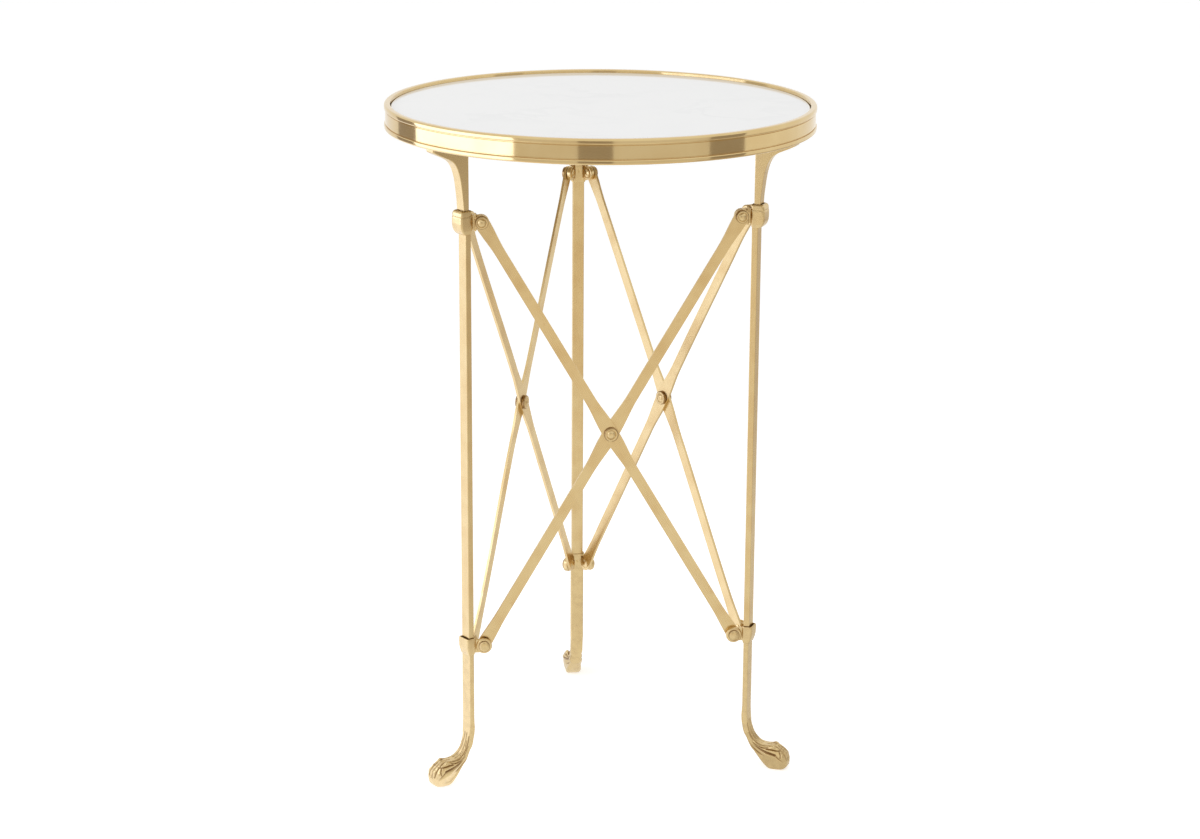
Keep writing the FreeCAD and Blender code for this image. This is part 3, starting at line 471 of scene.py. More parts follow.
# The lower collars: smaller cast cups that take the bar in their mouth and hug the shank of the
# foot below. Their ears end in thick round bosses with a slot behind for the foot of a brace.
lower_pivot = 0.135
shank_half_width = 0.00645
lower_mouth, lower_brim, lower_mouth_floor = (0.1537, 0.1617, 0.0068), 0.1430, 0.1388
boss_radius, boss_front, boss_arris = 0.0075, 0.0040, 0.0014
lower_web_foot, lower_web_top, lower_web_front = -0.0068, 0.0062, 0.0020
slot_low, slot_high = (-0.0048, 0.0026, -0.003), (0.0048, 0.012, 0.0012)
lower_cup = ring("lower_cup", cup_corner_share)
draw_out(lower_cup, cup_sections([
    (0.1260, 0.0003, 0.0004, 0.0002), (0.1268, 0.0005, 0.0008, 0.0005), (0.1285, 0.0007, 0.0014, 0.0008),
    (0.1310, 0.0009, 0.0022, 0.0011), (0.1340, 0.0010, 0.0028, 0.0014), (0.1375, 0.0010, 0.0030, 0.0015),
    (0.1410, 0.0010, 0.0030, 0.0015), (0.1424, 0.0009, 0.0028, 0.0013), (0.1430, 0.0006, 0.0023, 0.0009),
], leg_circle - bar_half_depth, leg_circle + bar_half_depth, shank_half_width))
hollowed(lower_cup, *lower_mouth, lower_brim, lower_mouth_floor)
lower_parts = [lower_cup]
for side in (1, -1):
    boss = eased(disc("lower_boss", boss_radius, -ear_half_thick, boss_front), boss_arris, 4)
    web = block("lower_web", (web_root - ear_reach, lower_web_foot, -ear_half_thick),
                (0, lower_web_top, lower_web_front))
    slot = block("lower_slot", slot_low, slot_high)
    place = bay_matrix(side, ear_reach, 0, lower_pivot)
    boss = put(boss, place)
    cut_with(boss, put(slot, place))
    lower_parts.extend([boss, put(web, place)])
lower_collar = cast_whole("lower_collar", lower_parts, collar_grain, collar_softening)
fit_to_legs(lower_collar, "lower_collar", casting_finish)

# The paw feet: brass castings, each with a flat shank that bends outwards at the ankle and
# spreads into a lion's paw: four curled toes, with locks of fur carved down the instep and sides.
# A row of the profile: crest and sole (distance from the table's axis, height), then half width.
foot_profile = [
    ((0.1595, 0.1300), (0.1545, 0.1300), 0.00645), ((0.1595, 0.0900), (0.1545, 0.0900), 0.00645),
    ((0.1595, 0.0620), (0.1545, 0.0620), 0.00645), ((0.1598, 0.0520), (0.1538, 0.0515), 0.0064),
    ((0.1608, 0.0445), (0.1541, 0.0430), 0.0063), ((0.1627, 0.0370), (0.1555, 0.0350), 0.0063),
    ((0.1660, 0.0302), (0.1588, 0.0270), 0.0066), ((0.1712, 0.0252), (0.1635, 0.0185), 0.0074),
    ((0.1775, 0.0230), (0.1695, 0.0118), 0.0085), ((0.1833, 0.0232), (0.1768, 0.0044), 0.0095),
    ((0.1891, 0.0225), (0.1830, -0.0002), 0.0098), ((0.1942, 0.0202), (0.1890, -0.0008), 0.0097),
    ((0.1982, 0.0163), (0.1942, -0.0003), 0.0089), ((0.2006, 0.0117), (0.1982, 0.0008), 0.0071),
    ((0.2014, 0.0070), (0.2008, 0.0034), 0.0040),
]
shank_corner_share, paw_corner_share = 0.16, 0.5
ankle_row, shank_last_row, shank_fade_share = 3, 5.5, 0.25
paw_grain, paw_softening = 0.00035, 2
# A furrow as deep as full_furrow takes the full painted shade and patina.
furrow_limit, full_furrow = 0.003, 0.0011


def flowing(rows, place):
    """The row at a place between the numbered rows, on a smooth curve through them."""
    last = len(rows) - 1
    at = min(int(place), last - 1)
    share = place - at
    around = [rows[min(max(at + step, 0), last)] for step in (-1, 0, 1, 2)]
    row = []
    for before, start, stop, after in zip(*around):
        slope = (stop - before) / 2
        bend = (2 * before - 5 * start + 4 * stop - after) / 2
        twist = (3 * start - before - 3 * stop + after) / 2
        row.append(start + share * (slope + share * (bend + share * twist)))
    return row


foot_rows = [(*crest, *sole, half_width) for crest, sole, half_width in foot_profile]


def foot_section(place):
    crest_out, crest_up, sole_out, sole_up, half_width = flowing(foot_rows, place)
    across, up = crest_out - sole_out, crest_up - sole_up
    middle = ((crest_out + sole_out) / 2, 0, (crest_up + sole_up) / 2)
    return middle, math.hypot(across, up) / 2, half_width, math.degrees(math.atan2(up, across))


def foot_skin(place, around):
    """A point on the paw: how far down the profile, and degrees round from the crest."""
    middle, deep, wide, lean = foot_section(place)
    u, v = math.cos(math.radians(around)), math.sin(math.radians(around))
    reach = abs(u) + abs(v)
    reach = (reach + math.sqrt(max(0, reach * reach - 1))) / 2 if reach > 1 else 1
    reach = min(reach, 1 / max(abs(u), abs(v)))
    u, v = u * reach * deep, v * reach * wide
    lean = math.radians(lean)
    return middle[0] + u * math.cos(lean), v, middle[2] + u * math.sin(lean)


def carved(piece, marks):
    """Presses furrows into a casting along points, or broad soft hollows; a negative depth swells it."""
    mesh = only(piece).data
    places, outward = np.empty(3 * len(mesh.vertices)), np.empty(3 * len(mesh.vertices))
    mesh.vertices.foreach_get("co", places)
    mesh.vertices.foreach_get("normal", outward)
    places, outward = places.reshape(-1, 3), outward.reshape(-1, 3)
    sunk, swollen = np.zeros(len(places)), np.zeros(len(places))
    for points, half_width, depth in marks:
        away = np.full(len(places), 1.0)
        for start, stop in zip(np.array(points), np.array(points[1:] + points[-1:])):
            step = stop - start
            share = np.clip((places - start) @ step / max(step @ step, 1e-12), 0, 1)
            away = np.minimum(away, np.linalg.norm(places - start - share[:, None] * step, axis=1))
        press = np.clip(1 - away / half_width, 0, 1)
        if depth > 0 and half_width < furrow_limit:
            sunk = np.maximum(sunk, depth * press ** 1.2)
        else:
            swollen -= depth * press * press * (3 - 2 * press)
    places += outward * (swollen - sunk)[:, None]
    mesh.vertices.foreach_set("co", places.ravel())
    # Each point's furrow depth is kept as a mask for painted shade and patina in the finish.
    furrow = mesh.attributes.new("furrow", "FLOAT", "POINT")
    furrow.data.foreach_set("value", np.clip(sunk / full_furrow, 0, 1))
    mesh.update()
    return piece


shank = ring("paw_shank", shank_corner_share)
shank_sections = []
for place in (0, 1, 2, 2.5, 3, 3.5, 4, 4.5, 5, shank_last_row):
    middle, deep, wide, lean = foot_section(place)
    fade = 1 - shank_fade_share * max(0, (place - ankle_row) / (shank_last_row - ankle_row)) ** 1.5
    shank_sections.append((middle, deep * fade, wide * fade, lean))
draw_out(shank, shank_sections)
closed(shank)
paw = ring("paw_body", paw_corner_share)
paw_steps = 4 * (len(foot_rows) - 1 - ankle_row)
draw_out(paw, [foot_section(ankle_row + step / 4) for step in range(paw_steps + 1)])
closed(paw)
paw_foot = cast_whole("paw_foot", [shank, paw], paw_grain, paw_softening)

# The carver's marks: points (row of the profile, degrees round from the crest), half width and
# depth. First those on the middle line, then those of one side, which the other side mirrors.
foot_marks = [
    ([foot_skin(8.4 + step / 4, 0) for step in range(21)], 0.0009, 0.0009),
    ([foot_skin(9.8, 0)], 0.0042, -0.0009), ([foot_skin(12.1, 0)], 0.0036, -0.0007),
]
for side in (-1, 1):
    for path, half_width, depth in (
        ([(9.6, 32)], 0.0044, -0.0013), ([(10.2, 12)], 0.0034, -0.0008),
        ([(11.9, 55)], 0.0038, -0.0008), ([(12.3, 16)], 0.0032, -0.0007),
        ([(8.0, 34), (8.8, 30), (9.6, 22), (10.4, 20), (11.2, 24), (12.2, 28), (13.2, 34)], 0.0013, 0.0015),
        ([(8.8, 54), (9.5, 49), (10.3, 45), (10.9, 36), (11.1, 26)], 0.0012, 0.0013),
        ([(11.0, 38), (11.5, 50), (11.6, 64)], 0.0010, 0.0010), ([(11.0, 0), (11.05, 24)], 0.0014, 0.0008),
        ([(6.8, 92), (7.3, 80), (8.0, 75), (8.9, 71), (9.7, 68), (10.5, 66)], 0.0019, 0.0022),
        ([(10.5, 66), (11.2, 72), (12.0, 76), (12.8, 84)], 0.0012, 0.0010),
        ([(11.8, 80), (12.3, 92)], 0.0009, 0.0014), ([(12.9, 12), (13.5, 14)], 0.0007, 0.0010),
        ([(4.6, 98), (5.4, 92), (6.0, 87), (6.8, 74), (7.6, 60), (8.3, 50), (8.9, 43)], 0.0012, 0.0012),
        ([(4.2, 44), (5.2, 46), (6.4, 44), (7.4, 38), (8.0, 35)], 0.0011, 0.0010),
        ([(3.8, 15), (5.0, 16), (6.4, 17), (7.6, 15)], 0.0010, 0.0009),
        ([(4.8, 28), (5.6, 33)], 0.0008, 0.0008), ([(5.9, 27), (6.8, 31)], 0.0008, 0.0008),
        ([(5.4, 64), (6.5, 60)], 0.0009, 0.0008), ([(6.9, 48), (7.7, 46)], 0.0008, 0.0008),
        ([(6.0, 128), (7.0, 120), (7.8, 114), (8.6, 106), (9.2, 100)], 0.0011, 0.0010),
        ([(6.0, 118), (7.0, 118), (8.0, 117), (9.0, 116), (10.0, 117), (11.4, 122)], 0.0070, 0.0009),
        ([(7.6, 117), (8.6, 116), (9.6, 116), (10.6, 118)], 0.0070, 0.0011),
        ([(7.8, 100), (8.8, 92), (9.8, 88), (10.8, 89)], 0.0012, 0.0005),
    ):
        stops = [flowing(path, step / 4) for step in range(4 * len(path) - 3)] if len(path) > 1 else path
        foot_marks.append(([foot_skin(place, side * around) for place, around in stops], half_width, depth))
opened(carved(paw_foot, foot_marks))
bpy.ops.mesh.bisect(plane_co=(0, 0, 0), plane_no=(0, 0, 1), clear_inner=True, use_fill=True,
                    threshold=weld_distance)
only(paw_foot)
# The paws take the strongest painted shade in their hollows.
paw_finish = cast_brass("paw_brass", hollows=0.95, patina=0.2)
fit_to_legs(paw_foot, "paw_foot", paw_finish)

# The braces: flat brass strips, brushed lengthwise, that swell into round eyes at their ends and
# into a lozenge where they cross. Each runs from inside a lower boss to outside an upper ear.
BAY_ANGLES = {"front": 270, "right": 30, "left": 150}
bay_sense = {"front": 1, "right": -1, "left": 1}
lap_heights = {"outer": 0.00375, "inner": 0.00125}
lap_sense = {"outer": -1, "inner": 1}
brace_step, brace_thick, brace_arris = 0.005, 0.0024, 0.0006
brace_seat, brace_flat, brace_face = 0.0773, 0.017, 0.0037
brace_steps, eye_steps, tip_weld = 80, 10, 0.00001
strip_half_width, lower_eye, upper_eye = 0.005, 0.0064, 0.007
eye_reach, eye_taper = 0.007, 0.034
lozenge_half_width, lozenge_swell, lozenge_flat, lozenge_taper = 0.0073, 0.0023, 0.004, 0.036
pivot_run = leg_circle * math.sqrt(3) / 2 - ear_reach
brace_length = math.hypot(2 * pivot_run, upper_pivot - lower_pivot)
brace_finish = brushed_brass("brushed_strip_brass", along=0)


def eased_step(value):
    """From 0 to 1 with a soft start and end."""
    value = min(1, max(0, value))
    return value * value * (3 - 2 * value)


def brace_half_width(along):
    eye = lower_eye if along < brace_length / 2 else upper_eye
    from_end = min(along, brace_length - along)
    if from_end < 0:
        return eye * math.sqrt(max(0, 1 - (from_end / eye_reach) ** 2))
    from_crossing = abs(along - brace_length / 2) - lozenge_flat
    at_eye = eye - (eye - strip_half_width) * eased_step(from_end / eye_taper)
    at_crossing = lozenge_half_width - lozenge_swell * eased_step(from_crossing / lozenge_taper)
    return max(strip_half_width, at_eye, at_crossing)


def brace_lift(along, lap):
    """How far a strip has bent outwards: first to its lap at the crossing, then to its upper seat."""
    run = brace_length / 2 - 2 * brace_flat
    first = eased_step((along - brace_flat) / run)
    second = eased_step((along - brace_length / 2 - brace_flat) / run)
    return lap * first + (brace_step - lap) * second


def line(name, points):
    """Edges drawn from point to point."""
    piece = begin(name, bpy.ops.mesh.primitive_plane_add, size=0.001)
    bpy.ops.mesh.merge(type="CENTER")
    bpy.ops.transform.translate(value=points[0])
    for last, point in zip(points, points[1:]):
        step = [b - a for a, b in zip(last, point)]
        bpy.ops.mesh.extrude_region_move(TRANSFORM_OT_translate={"value": step})
    bpy.ops.mesh.select_all(action="SELECT")
    return piece


eye_angles = [math.radians(90 * step / eye_steps) for step in range(eye_steps + 1)]
brace_stations = [-eye_reach * math.cos(angle) for angle in eye_angles[:-1]]
brace_stations += [brace_length * step / brace_steps for step in range(brace_steps + 1)]
brace_stations += [brace_length + eye_reach * math.sin(angle) for angle in eye_angles[1:]]
for layer, lap in lap_heights.items():
    brace = line("brace", [(x, brace_half_width(x), brace_lift(x, lap)) for x in brace_stations])
    bpy.ops.mesh.extrude_region_move(TRANSFORM_OT_translate={"value": (0, 0, 0)})
    bpy.ops.transform.resize(value=(1, -1, 1), center_override=(0, 0, 0))
    bpy.ops.mesh.select_all(action="SELECT")
    bpy.ops.mesh.remove_doubles(threshold=tip_weld)
    bpy.ops.mesh.extrude_region_move(TRANSFORM_OT_translate={"value": (0, 0, brace_thick)})
    closed(brace)
    worked(brace, "BEVEL", width=brace_arris, segments=3, limit_method="ANGLE",
           angle_limit=math.radians(60))
    marked(flat_faced(brace))
    for bay, angle in BAY_ANGLES.items():
        sense = lap_sense[layer] * bay_sense[bay]
        along = Vector((0, sense * 2 * pivot_run, upper_pivot - lower_pivot)).normalized()
        outward = Vector((1, 0, 0))
        foot_spot = Vector((brace_seat, -sense * pivot_run, lower_pivot))
        seat = placed(along, outward.cross(along), outward, foot_spot)
        copy = put(copied(brace, f"{layer}_brace.{bay}"), turn(angle) @ seat)
        fitted(copy, f"{bay}_bay_{layer}_brace", brace_finish)
    throw_away(brace)

# The rivets: turned brass with domed heads set down on both sides. Those of the pivots go through
# an ear and a brace; those of the crossings have a round plate under each dome. Profiles are
# radius and height above the face that the head sits on.
edge_band = 0.0004
crossing_seat, crossing_grip = 0.07855, 0.0049


def turned_piece(name, profile, steps):
    """A lathe-turned piece: its profile (radius, height) spun round Z."""
    piece = line(name, [(radius, 0, height) for radius, height in profile])
    bpy.ops.mesh.spin(steps=steps, angle=2 * math.pi, center=(0, 0, 0), axis=(0, 0, 1))
    return closed(piece)


def dome(radius, rise, count=8):
    """A low dome from its edge to its middle, as radius and height above the edge."""
    bend = (radius ** 2 + rise ** 2) / (2 * rise)
    reach = math.asin(min(1, radius / bend))
    angles = [reach * (1 - step / count) for step in range(count + 1)]
    return [(bend * math.sin(a), bend * math.cos(a) - bend + rise) for a in angles]


def rivet(name, head, grip, tail):
    """A rivet along Z: its head above the grip, its tail set down below, and painted shade round its widest
    edges.
    """
    above = [(radius, grip + height) for radius, height in head]
    below = [(radius, -height) for radius, height in reversed(tail)]
    piece = smooth(turned_piece(name, below + above, 40), 35)
    edge = max(radius for radius, height in head) - edge_band
    # Points at the head's widest edge take painted shade through the furrow mask.
    rim_shade = piece.data.attributes.new("furrow", "FLOAT", "POINT")
    rim_shade.data.foreach_set("value", [float(point.co.xy.length > edge) for point in piece.data.vertices])
    return piece


rivet_finish = cast_brass("rivet_brass", hollows=0.5, patina=0.35)
pivot_tail = [(0.0044, 0.0), (0.0044, 0.0003), (0.0042, 0.00045), (0.0038, 0.0004)]
pivot_tail += [(radius, 0.00045 + height) for radius, height in dome(0.0037, 0.0012)]
stepped_head = [(0.0052, 0.0), (0.0052, 0.0005), (0.0060, 0.0008), (0.0060, 0.0022), (0.0057, 0.0027)]
stepped_head += [(0.0051, 0.0029), (0.0043, 0.0029), (0.0039, 0.0025)]
stepped_head += [(radius, 0.0025 + height) for radius, height in dome(0.0037, 0.0013)]
round_head = [(0.0046, 0.0), (0.0046, 0.0004), (0.0053, 0.0006), (0.0053, 0.0011)]
round_head += [(radius, 0.0011 + height) for radius, height in dome(0.0051, 0.0019)]
for level, height, low, grip, head in (
    ("upper", upper_pivot, -ear_back, ear_back + brace_face, stepped_head),
    ("lower", lower_pivot, -brace_face, brace_face + boss_front, round_head),
):
    pattern = marked(rivet("pivot_rivet", head, grip, pivot_tail))
    rivets = []
    for angle in LEG_ANGLES.values():
        for side in (1, -1):
            place = turn(angle) @ bay_matrix(side, ear_reach, low, height)
            rivets.append(put(copied(pattern, "pivot_rivet_copy"), place))
    throw_away(pattern)
    whole = joined(f"pivot_rivets.{level}", rivets)
    fitted(closed(whole), f"{level}_pivot_rivets", rivet_finish)
crossing_head = [(0.0060, 0.0), (0.0060, 0.0005), (0.0068, 0.0008), (0.0068, 0.0018), (0.0064, 0.0023)]
crossing_head += [(0.0054, 0.0026), (0.0046, 0.0026), (0.0042, 0.0022)]
crossing_head += [(radius, 0.0022 + height) for radius, height in dome(0.0040, 0.0016)]
pattern = marked(rivet("crossing_rivet", crossing_head, crossing_grip, crossing_head))
rivets = []
for angle in BAY_ANGLES.values():
    place = Matrix.Translation((crossing_seat, 0, (upper_pivot + lower_pivot) / 2)) @ turn(90, "Y")
    rivets.append(put(copied(pattern, "crossing_rivet_copy"), turn(angle) @ place))
throw_away(pattern)
fitted(closed(joined("crossing_rivets.all", rivets)), "crossing_rivets", rivet_finish)

# The hidden fixings: a lacquered steel plate in the rim's foot, plated screws, studs inside the
# legs and pins behind the collars. They keep their own solids and get their finishes here.


def object_place(material):
    """Where a point lies on a piece that stays at the origin."""
    tree = material.node_tree
    return Wire(tree, tree.nodes.new("ShaderNodeTexCoord").outputs["Object"])


def painted_steel():
    """Brass-coloured lacquer with a fine orange peel."""
    material, shader = new_finish("painted_steel", (0.50, 0.38, 0.20), metallic=0, roughness=0.5)
    place = object_place(material)
    place.speckle(0.0009, detail=2).bump(0.00006, 0.5).feed(shader, "Normal")
    place.speckle(0.03).between(0.3, 0.7, 0.48, 0.62).feed(shader, "Roughness")
    return material


def plain_finish(name, colour, metallic, low, high, size):
    """A plain finish whose roughness drifts between low and high, in patches of a size."""
    material, shader = new_finish(name, colour, metallic, (low + high) / 2)
    object_place(material).speckle(size).between(0.3, 0.7, low, high).feed(shader, "Roughness")
    return material


plated_steel = plain_finish("plated_steel", (0.56, 0.56, 0.57), metallic=1, low=0.28, high=0.42, size=0.002)
bedding = plain_finish("bedding_dots", (0.78, 0.78, 0.76), metallic=0, low=0.35, high=0.5, size=0.002)
pin_brass = plain_finish("pin_brass", (0.68, 0.49, 0.22), metallic=1, low=0.28, high=0.4, size=0.001)
for node, finish in (
    ("support_plate", painted_steel()), ("top_screws", plated_steel), ("rim_screws", plated_steel),
    ("capital_studs", plated_steel), ("foot_studs", plated_steel), ("marble_pads", bedding),
    ("collar_pins", pin_brass),
):
    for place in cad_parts[node].material_slots:
        place.material = finish

# The rim: a brass ring turned on a lathe, with a rounded lip, a brushed flat band between two
# fine grooves and a bead at its foot. A ledge inside carries the slab and takes the screws.
top_segments = 240


def arc(middle, radius, start, stop, count=6):
    """Points (radius, height) of a rounding from one angle to another, in degrees."""
    angles = [math.radians(start + (stop - start) * step / count) for step in range(count + 1)]
    return [(middle[0] + radius * math.cos(a), middle[1] + radius * math.sin(a)) for a in angles]


rim_profile = [(0.1990, 0.6190)]
rim_profile += arc((0.2015, 0.6205), 0.0015, -90, 0)
rim_profile += arc((0.2019, 0.6224), 0.0011, 0, 90, 5)
rim_profile += [(0.2012, 0.6236), (0.2012, 0.6242), (0.2018, 0.6243), (0.2020, 0.6245)]
rim_profile += [(0.2020, 0.6360), (0.2018, 0.6362), (0.2012, 0.6363), (0.2012, 0.6369)]
rim_profile += arc((0.2019, 0.6381), 0.0011, -90, 0, 5)
rim_profile += arc((0.2010, 0.6400), 0.0020, 0, 90, 8)
rim_profile += arc((0.1980, 0.6410), 0.0010, 90, 180, 5)
rim_profile += [(0.1970, 0.6245), (0.1890, 0.6245), (0.1890, 0.6220), (0.1990, 0.6220), (0.1990, 0.6190)]


def turned_brass():
    """Brass brushed round on the lathe: fine rings, and a sheen drawn out across them."""
    scratch_width, round_stretch, tarnish_size = 0.00032, 0.02, 0.03
    material, shader = new_finish("turned_brass", brass_tone, metallic=1, roughness=0.13)
    shader.inputs["Anisotropic"].default_value = 0.85
    shader.inputs["Anisotropic Rotation"].default_value = 0.25
    bench = bench_place(material)
    x, y, z = bench.parts()
    radius = (x * x + y * y) ** 0.5
    spread = {0: x * round_stretch, 1: y * round_stretch, 2: z + radius}
    scratches = bench.node("ShaderNodeCombineXYZ", 0, spread).speckle(scratch_width, detail=4)
    tarnish = bench.speckle(tarnish_size, detail=4)
    warm = tarnish.between(0.35, 0.7, 0, 1)
    warm.tint(clean_brass, (0.67, 0.49, 0.235, 1)).feed(shader, "Base Color")
    rough = scratches.between(0.3, 0.7, 0.10, 0.15) + tarnish.between(0.3, 0.7, -0.01, 0.02)
    rough.feed(shader, "Roughness")
    scratches.bump(0.00001, 0.12).feed(shader, "Normal")
    return material


rim = smooth(turned_piece("rim_turned", rim_profile, top_segments), 35)
fitted(marked(rim), "top_rim", turned_brass())

# The slab: a disc of polished white marble with faint grey clouds and veins and a fine arris. It
# lies on soft dots on the rim's ledge, a little below the lip, and lifts straight out.
slab_radius, slab_foot, slab_top, slab_arris = 0.1964, 0.6255, 0.6390, 0.0008
marble_white = (0.90, 0.90, 0.895, 1)
vein_grey = (0.69, 0.70, 0.71, 1)


def white_marble():
    """Polished marble: thin bent veins in patches, over soft clouds."""
    vein_spacing, patch_size, cloud_size, drift_reach = 0.16, 0.11, 0.09, 0.12
    material, shader = new_finish("white_marble", (0.89, 0.89, 0.885), metallic=0, roughness=0.12)
    place = object_place(material)
    warp = place.node("ShaderNodeTexNoise", "Color", {"Vector": place, "Scale": 9.0, "Detail": 4.0})
    bent = place.node("ShaderNodeVectorMath", "Vector", {0: warp, 1: [drift_reach] * 3},
                      operation="MULTIPLY")
    drift = place.node("ShaderNodeVectorMath", "Vector", {0: place, 1: bent}, operation="ADD")
    thread = drift.speckle(vein_spacing, detail=5, roughness=0.6) - 0.5
    vein = (thread * thread).between(0.0, 0.0009, 1, 0)
    patch = place.speckle(patch_size, detail=3).between(0.45, 0.7, 0, 1)
    cloud = drift.speckle(cloud_size, detail=5, roughness=0.6).between(0.42, 0.75, 0, 0.45)
    grey = vein * patch * 0.2 + cloud * 0.25
    grey.tint(marble_white, vein_grey).feed(shader, "Base Color")
    shader.inputs["Coat Weight"].default_value = 0.3
    shader.inputs["Coat Roughness"].default_value = 0.05
    return material


slab = disc("marble_slab", slab_radius, slab_foot, slab_top, top_segments)
flat_faced(eased(slab, slab_arris, 3))
fitted(slab, "marble_top", white_marble(), body="slab")

# The studio: a plain white floor and surround, a large soft lamp at the left and a weak one above,
# with grey screens that only show in the metal.
floor_size, floor_drop = 12, 0.0003
floor_glow = (0.53, 0.53, 0.53, 1)
surround_light = 0.55


def seen_directly(tree):
    """1 for rays from the camera, off a shiny face or through a clear one, and 0 for the rest."""
    rays = tree.nodes.new("ShaderNodeLightPath").outputs
    seen = Wire(tree, rays["Is Camera Ray"]) + Wire(tree, rays["Is Glossy Ray"])
    return seen + Wire(tree, rays["Is Transmission Ray"])


def floor_finish():
    material, shader = new_finish("studio_floor", (0.8, 0.8, 0.8), metallic=0, roughness=0.9)
    seen_directly(material.node_tree).tint((0, 0, 0, 1), floor_glow).feed(shader, "Emission Color")
    shader.inputs["Emission Strength"].default_value = 1
    return material


floor = begin("studio_floor", bpy.ops.mesh.primitive_plane_add, size=floor_size)
bpy.ops.transform.translate(value=(0, 0, -floor_drop))
only(floor)
floor.data.materials.append(floor_finish())

world = bpy.data.worlds.new("studio")
world.use_nodes = True
bpy.context.scene.world = world
tree = world.node_tree
plain = tree.nodes["Background"]
plain.inputs["Color"].default_value = (1, 1, 1, 1)
plain.inputs["Strength"].default_value = surround_light
white = tree.nodes.new("ShaderNodeBackground")
white.inputs["Color"].default_value = (1, 1, 1, 1)
white.inputs["Strength"].default_value = 1
seen = seen_directly(tree)
sky = {0: seen, 1: Wire(tree, plain.outputs[0]), 2: Wire(tree, white.outputs[0])}
mixed = seen.node("ShaderNodeMixShader", 0, sky)
tree.links.new(mixed.socket, tree.nodes["World Output"].inputs["Surface"])

# The camera looks down from a little left of the front, as in the photograph. Its distance is
# from the table's axis; its focal length is in pixels of the photograph.
camera_angle = math.radians(-8.065)
camera_distance, camera_height = 2.5613, 1.0606
focal_pixels, photo_width, sensor_width = 2748, 1200, 36
camera_spot = Vector((camera_distance * math.sin(camera_angle), -camera_distance * math.cos(camera_angle),
                      camera_height))
pitch, yaw, roll = (math.radians(value) for value in (15.885, 0.026, 0.331))
ahead = Vector((-math.sin(camera_angle), math.cos(camera_angle), 0))
right = Vector((math.cos(camera_angle), math.sin(camera_angle), 0))
up = Vector((0, 0, 1))
ahead, right = ahead * math.cos(yaw) + right * math.sin(yaw), right * math.cos(yaw) - ahead * math.sin(yaw)
ahead, up = ahead * math.cos(pitch) - up * math.sin(pitch), up * math.cos(pitch) + ahead * math.sin(pitch)
right, up = right * math.cos(roll) + up * math.sin(roll), up * math.cos(roll) - right * math.sin(roll)


def studio_place(bearing, distance, height, aim):
    """A place round the table, its bearing counted from the camera, looking at a height on the axis."""
    angle = camera_angle + math.radians(bearing)
    spot = Vector((distance * math.sin(angle), -distance * math.cos(angle), height))
    back = (spot - Vector((0, 0, aim))).normalized()
    return Matrix.Translation(spot) @ back.to_track_quat("Z", "Y").to_matrix().to_4x4()


def soft_lamp(name, bearing, distance, height, aim, size, power):
    lamp = bpy.data.lights.new(name, "AREA")
    lamp.shape = "RECTANGLE"
    lamp.size, lamp.size_y = size
    lamp.energy = power
    holder = bpy.data.objects.new(name, lamp)
    bpy.context.collection.objects.link(holder)
    holder.matrix_world = studio_place(bearing, distance, height, aim)
    holder.visible_glossy = False


soft_lamp("left_window", bearing=-84, distance=1.6, height=0.75, aim=0.45, size=(1.5, 1.6), power=14)
soft_lamp("top_softbox", bearing=20, distance=0.6, height=2.4, aim=0.3, size=(1.4, 1.4), power=9)

# Screens that only show in the metal: a round mat on the floor and a ring, with one row of screens
# at the legs' height and one at the rim's. Each begins at a bearing in degrees, to the right from
# the camera's, and ends where the next begins.
lamp_light, cool_white, plain_white = (2.4, 2.6, 3.2), (1.35, 1.4, 1.6), (1.0, 1.0, 1.0)
warm_white, soft_grey = (0.95, 0.9, 0.83), (0.8, 0.78, 0.75)
dim_grey, dark_grey = (0.65, 0.6, 0.55), (0.4, 0.36, 0.33)
mat_screens = [
    (-180, plain_white), (-140, cool_white), (-45, plain_white), (45, soft_grey), (135, plain_white),
]
leg_screens = [
    (-180, plain_white), (-140, cool_white), (-45, warm_white), (45, dim_grey), (135, plain_white),
]
rim_screens = [
    (-180, plain_white), (-120, dark_grey), (-100, lamp_light), (-40, soft_grey), (-10, dark_grey),
    (5, soft_grey), (50, dark_grey), (70, plain_white),
]
leg_edge, rim_edge, white_edge = (0.05, 0.2), (0.43, 0.47), (0.66, 0.76)
screen_radius, screen_height = 0.7, 1.5
screen_foot, mat_height = 0.001, 0.0004


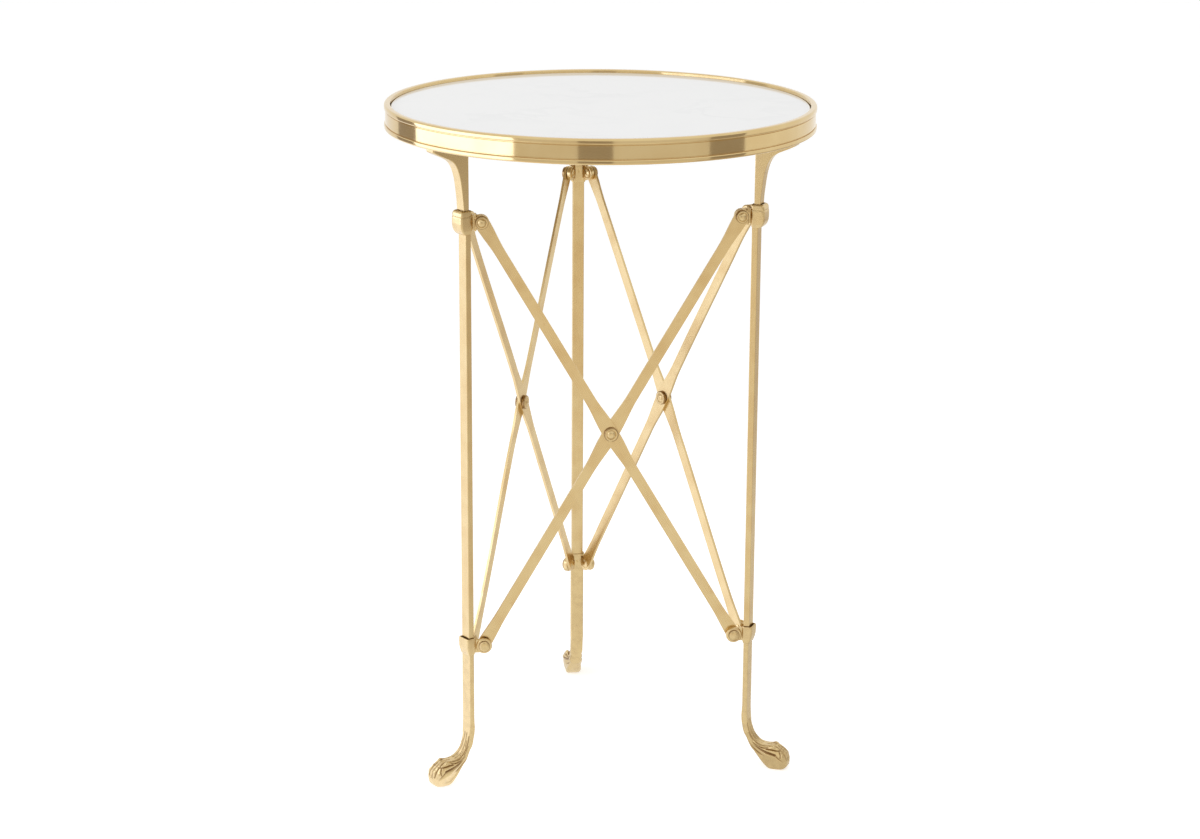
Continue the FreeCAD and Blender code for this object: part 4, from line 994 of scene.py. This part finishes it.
def screen_finish():
    material, shader = new_finish("studio_screens", (0, 0, 0), metallic=0, roughness=1)
    tree = material.node_tree
    x, y, z = object_place(material).parts()
    to_camera = x * math.sin(camera_angle) - y * math.cos(camera_angle)
    to_right = x * math.cos(camera_angle) + y * math.sin(camera_angle)
    bearing = to_right.reckon("ARCTAN2", to_right, to_camera) / (2 * math.pi) + 0.5
    tiers = []
    for row in (mat_screens, leg_screens, rim_screens):
        ramp = tree.nodes.new("ShaderNodeValToRGB")
        ramp.color_ramp.interpolation = "CONSTANT"
        while len(ramp.color_ramp.elements) < len(row):
            ramp.color_ramp.elements.new(1)
        for stop, (angle, colour) in zip(ramp.color_ramp.elements, row):
            stop.position = angle / 360 + 0.5
            stop.color = (*colour, 1)
        tree.links.new(bearing.socket, ramp.inputs["Fac"])
        tiers.append(Wire(tree, ramp.outputs["Color"]))
    colour = tiers[0]
    for tier, edge in zip(tiers[1:], (leg_edge, rim_edge)):
        colour = z.between(*edge, 0, 1).tint(colour, tier)
    z.between(*white_edge, 0, 1).tint(colour, (1, 1, 1, 1)).feed(shader, "Emission Color")
    shader.inputs["Emission Strength"].default_value = 1
    shader.inputs["Specular IOR Level"].default_value = 0
    return material


screens = begin("studio_screens", bpy.ops.mesh.primitive_cylinder_add, vertices=96, radius=screen_radius,
                depth=screen_height, end_fill_type="NOTHING")
bpy.ops.transform.translate(value=(0, 0, screen_foot + screen_height / 2))
only(screens)
mat = begin("studio_mat", bpy.ops.mesh.primitive_circle_add, vertices=96, radius=screen_radius,
            fill_type="NGON")
bpy.ops.transform.translate(value=(0, 0, mat_height))
only(mat)
screens.data.materials.append(screen_finish())
mat.data.materials.append(screens.data.materials[0])
for shade in (screens, mat):
    shade.visible_camera = shade.visible_diffuse = shade.visible_shadow = shade.visible_transmission = False

optics = bpy.data.cameras.new("photo_camera")
optics.sensor_fit = "HORIZONTAL"
optics.sensor_width = sensor_width
optics.lens = sensor_width * focal_pixels / photo_width
optics.clip_end = 50
camera = bpy.data.objects.new("photo_camera", optics)
bpy.context.collection.objects.link(camera)
camera.matrix_world = placed(right, up, -ahead, camera_spot)
bpy.context.scene.camera = camera
bpy.context.scene.view_settings.view_transform = "Standard"
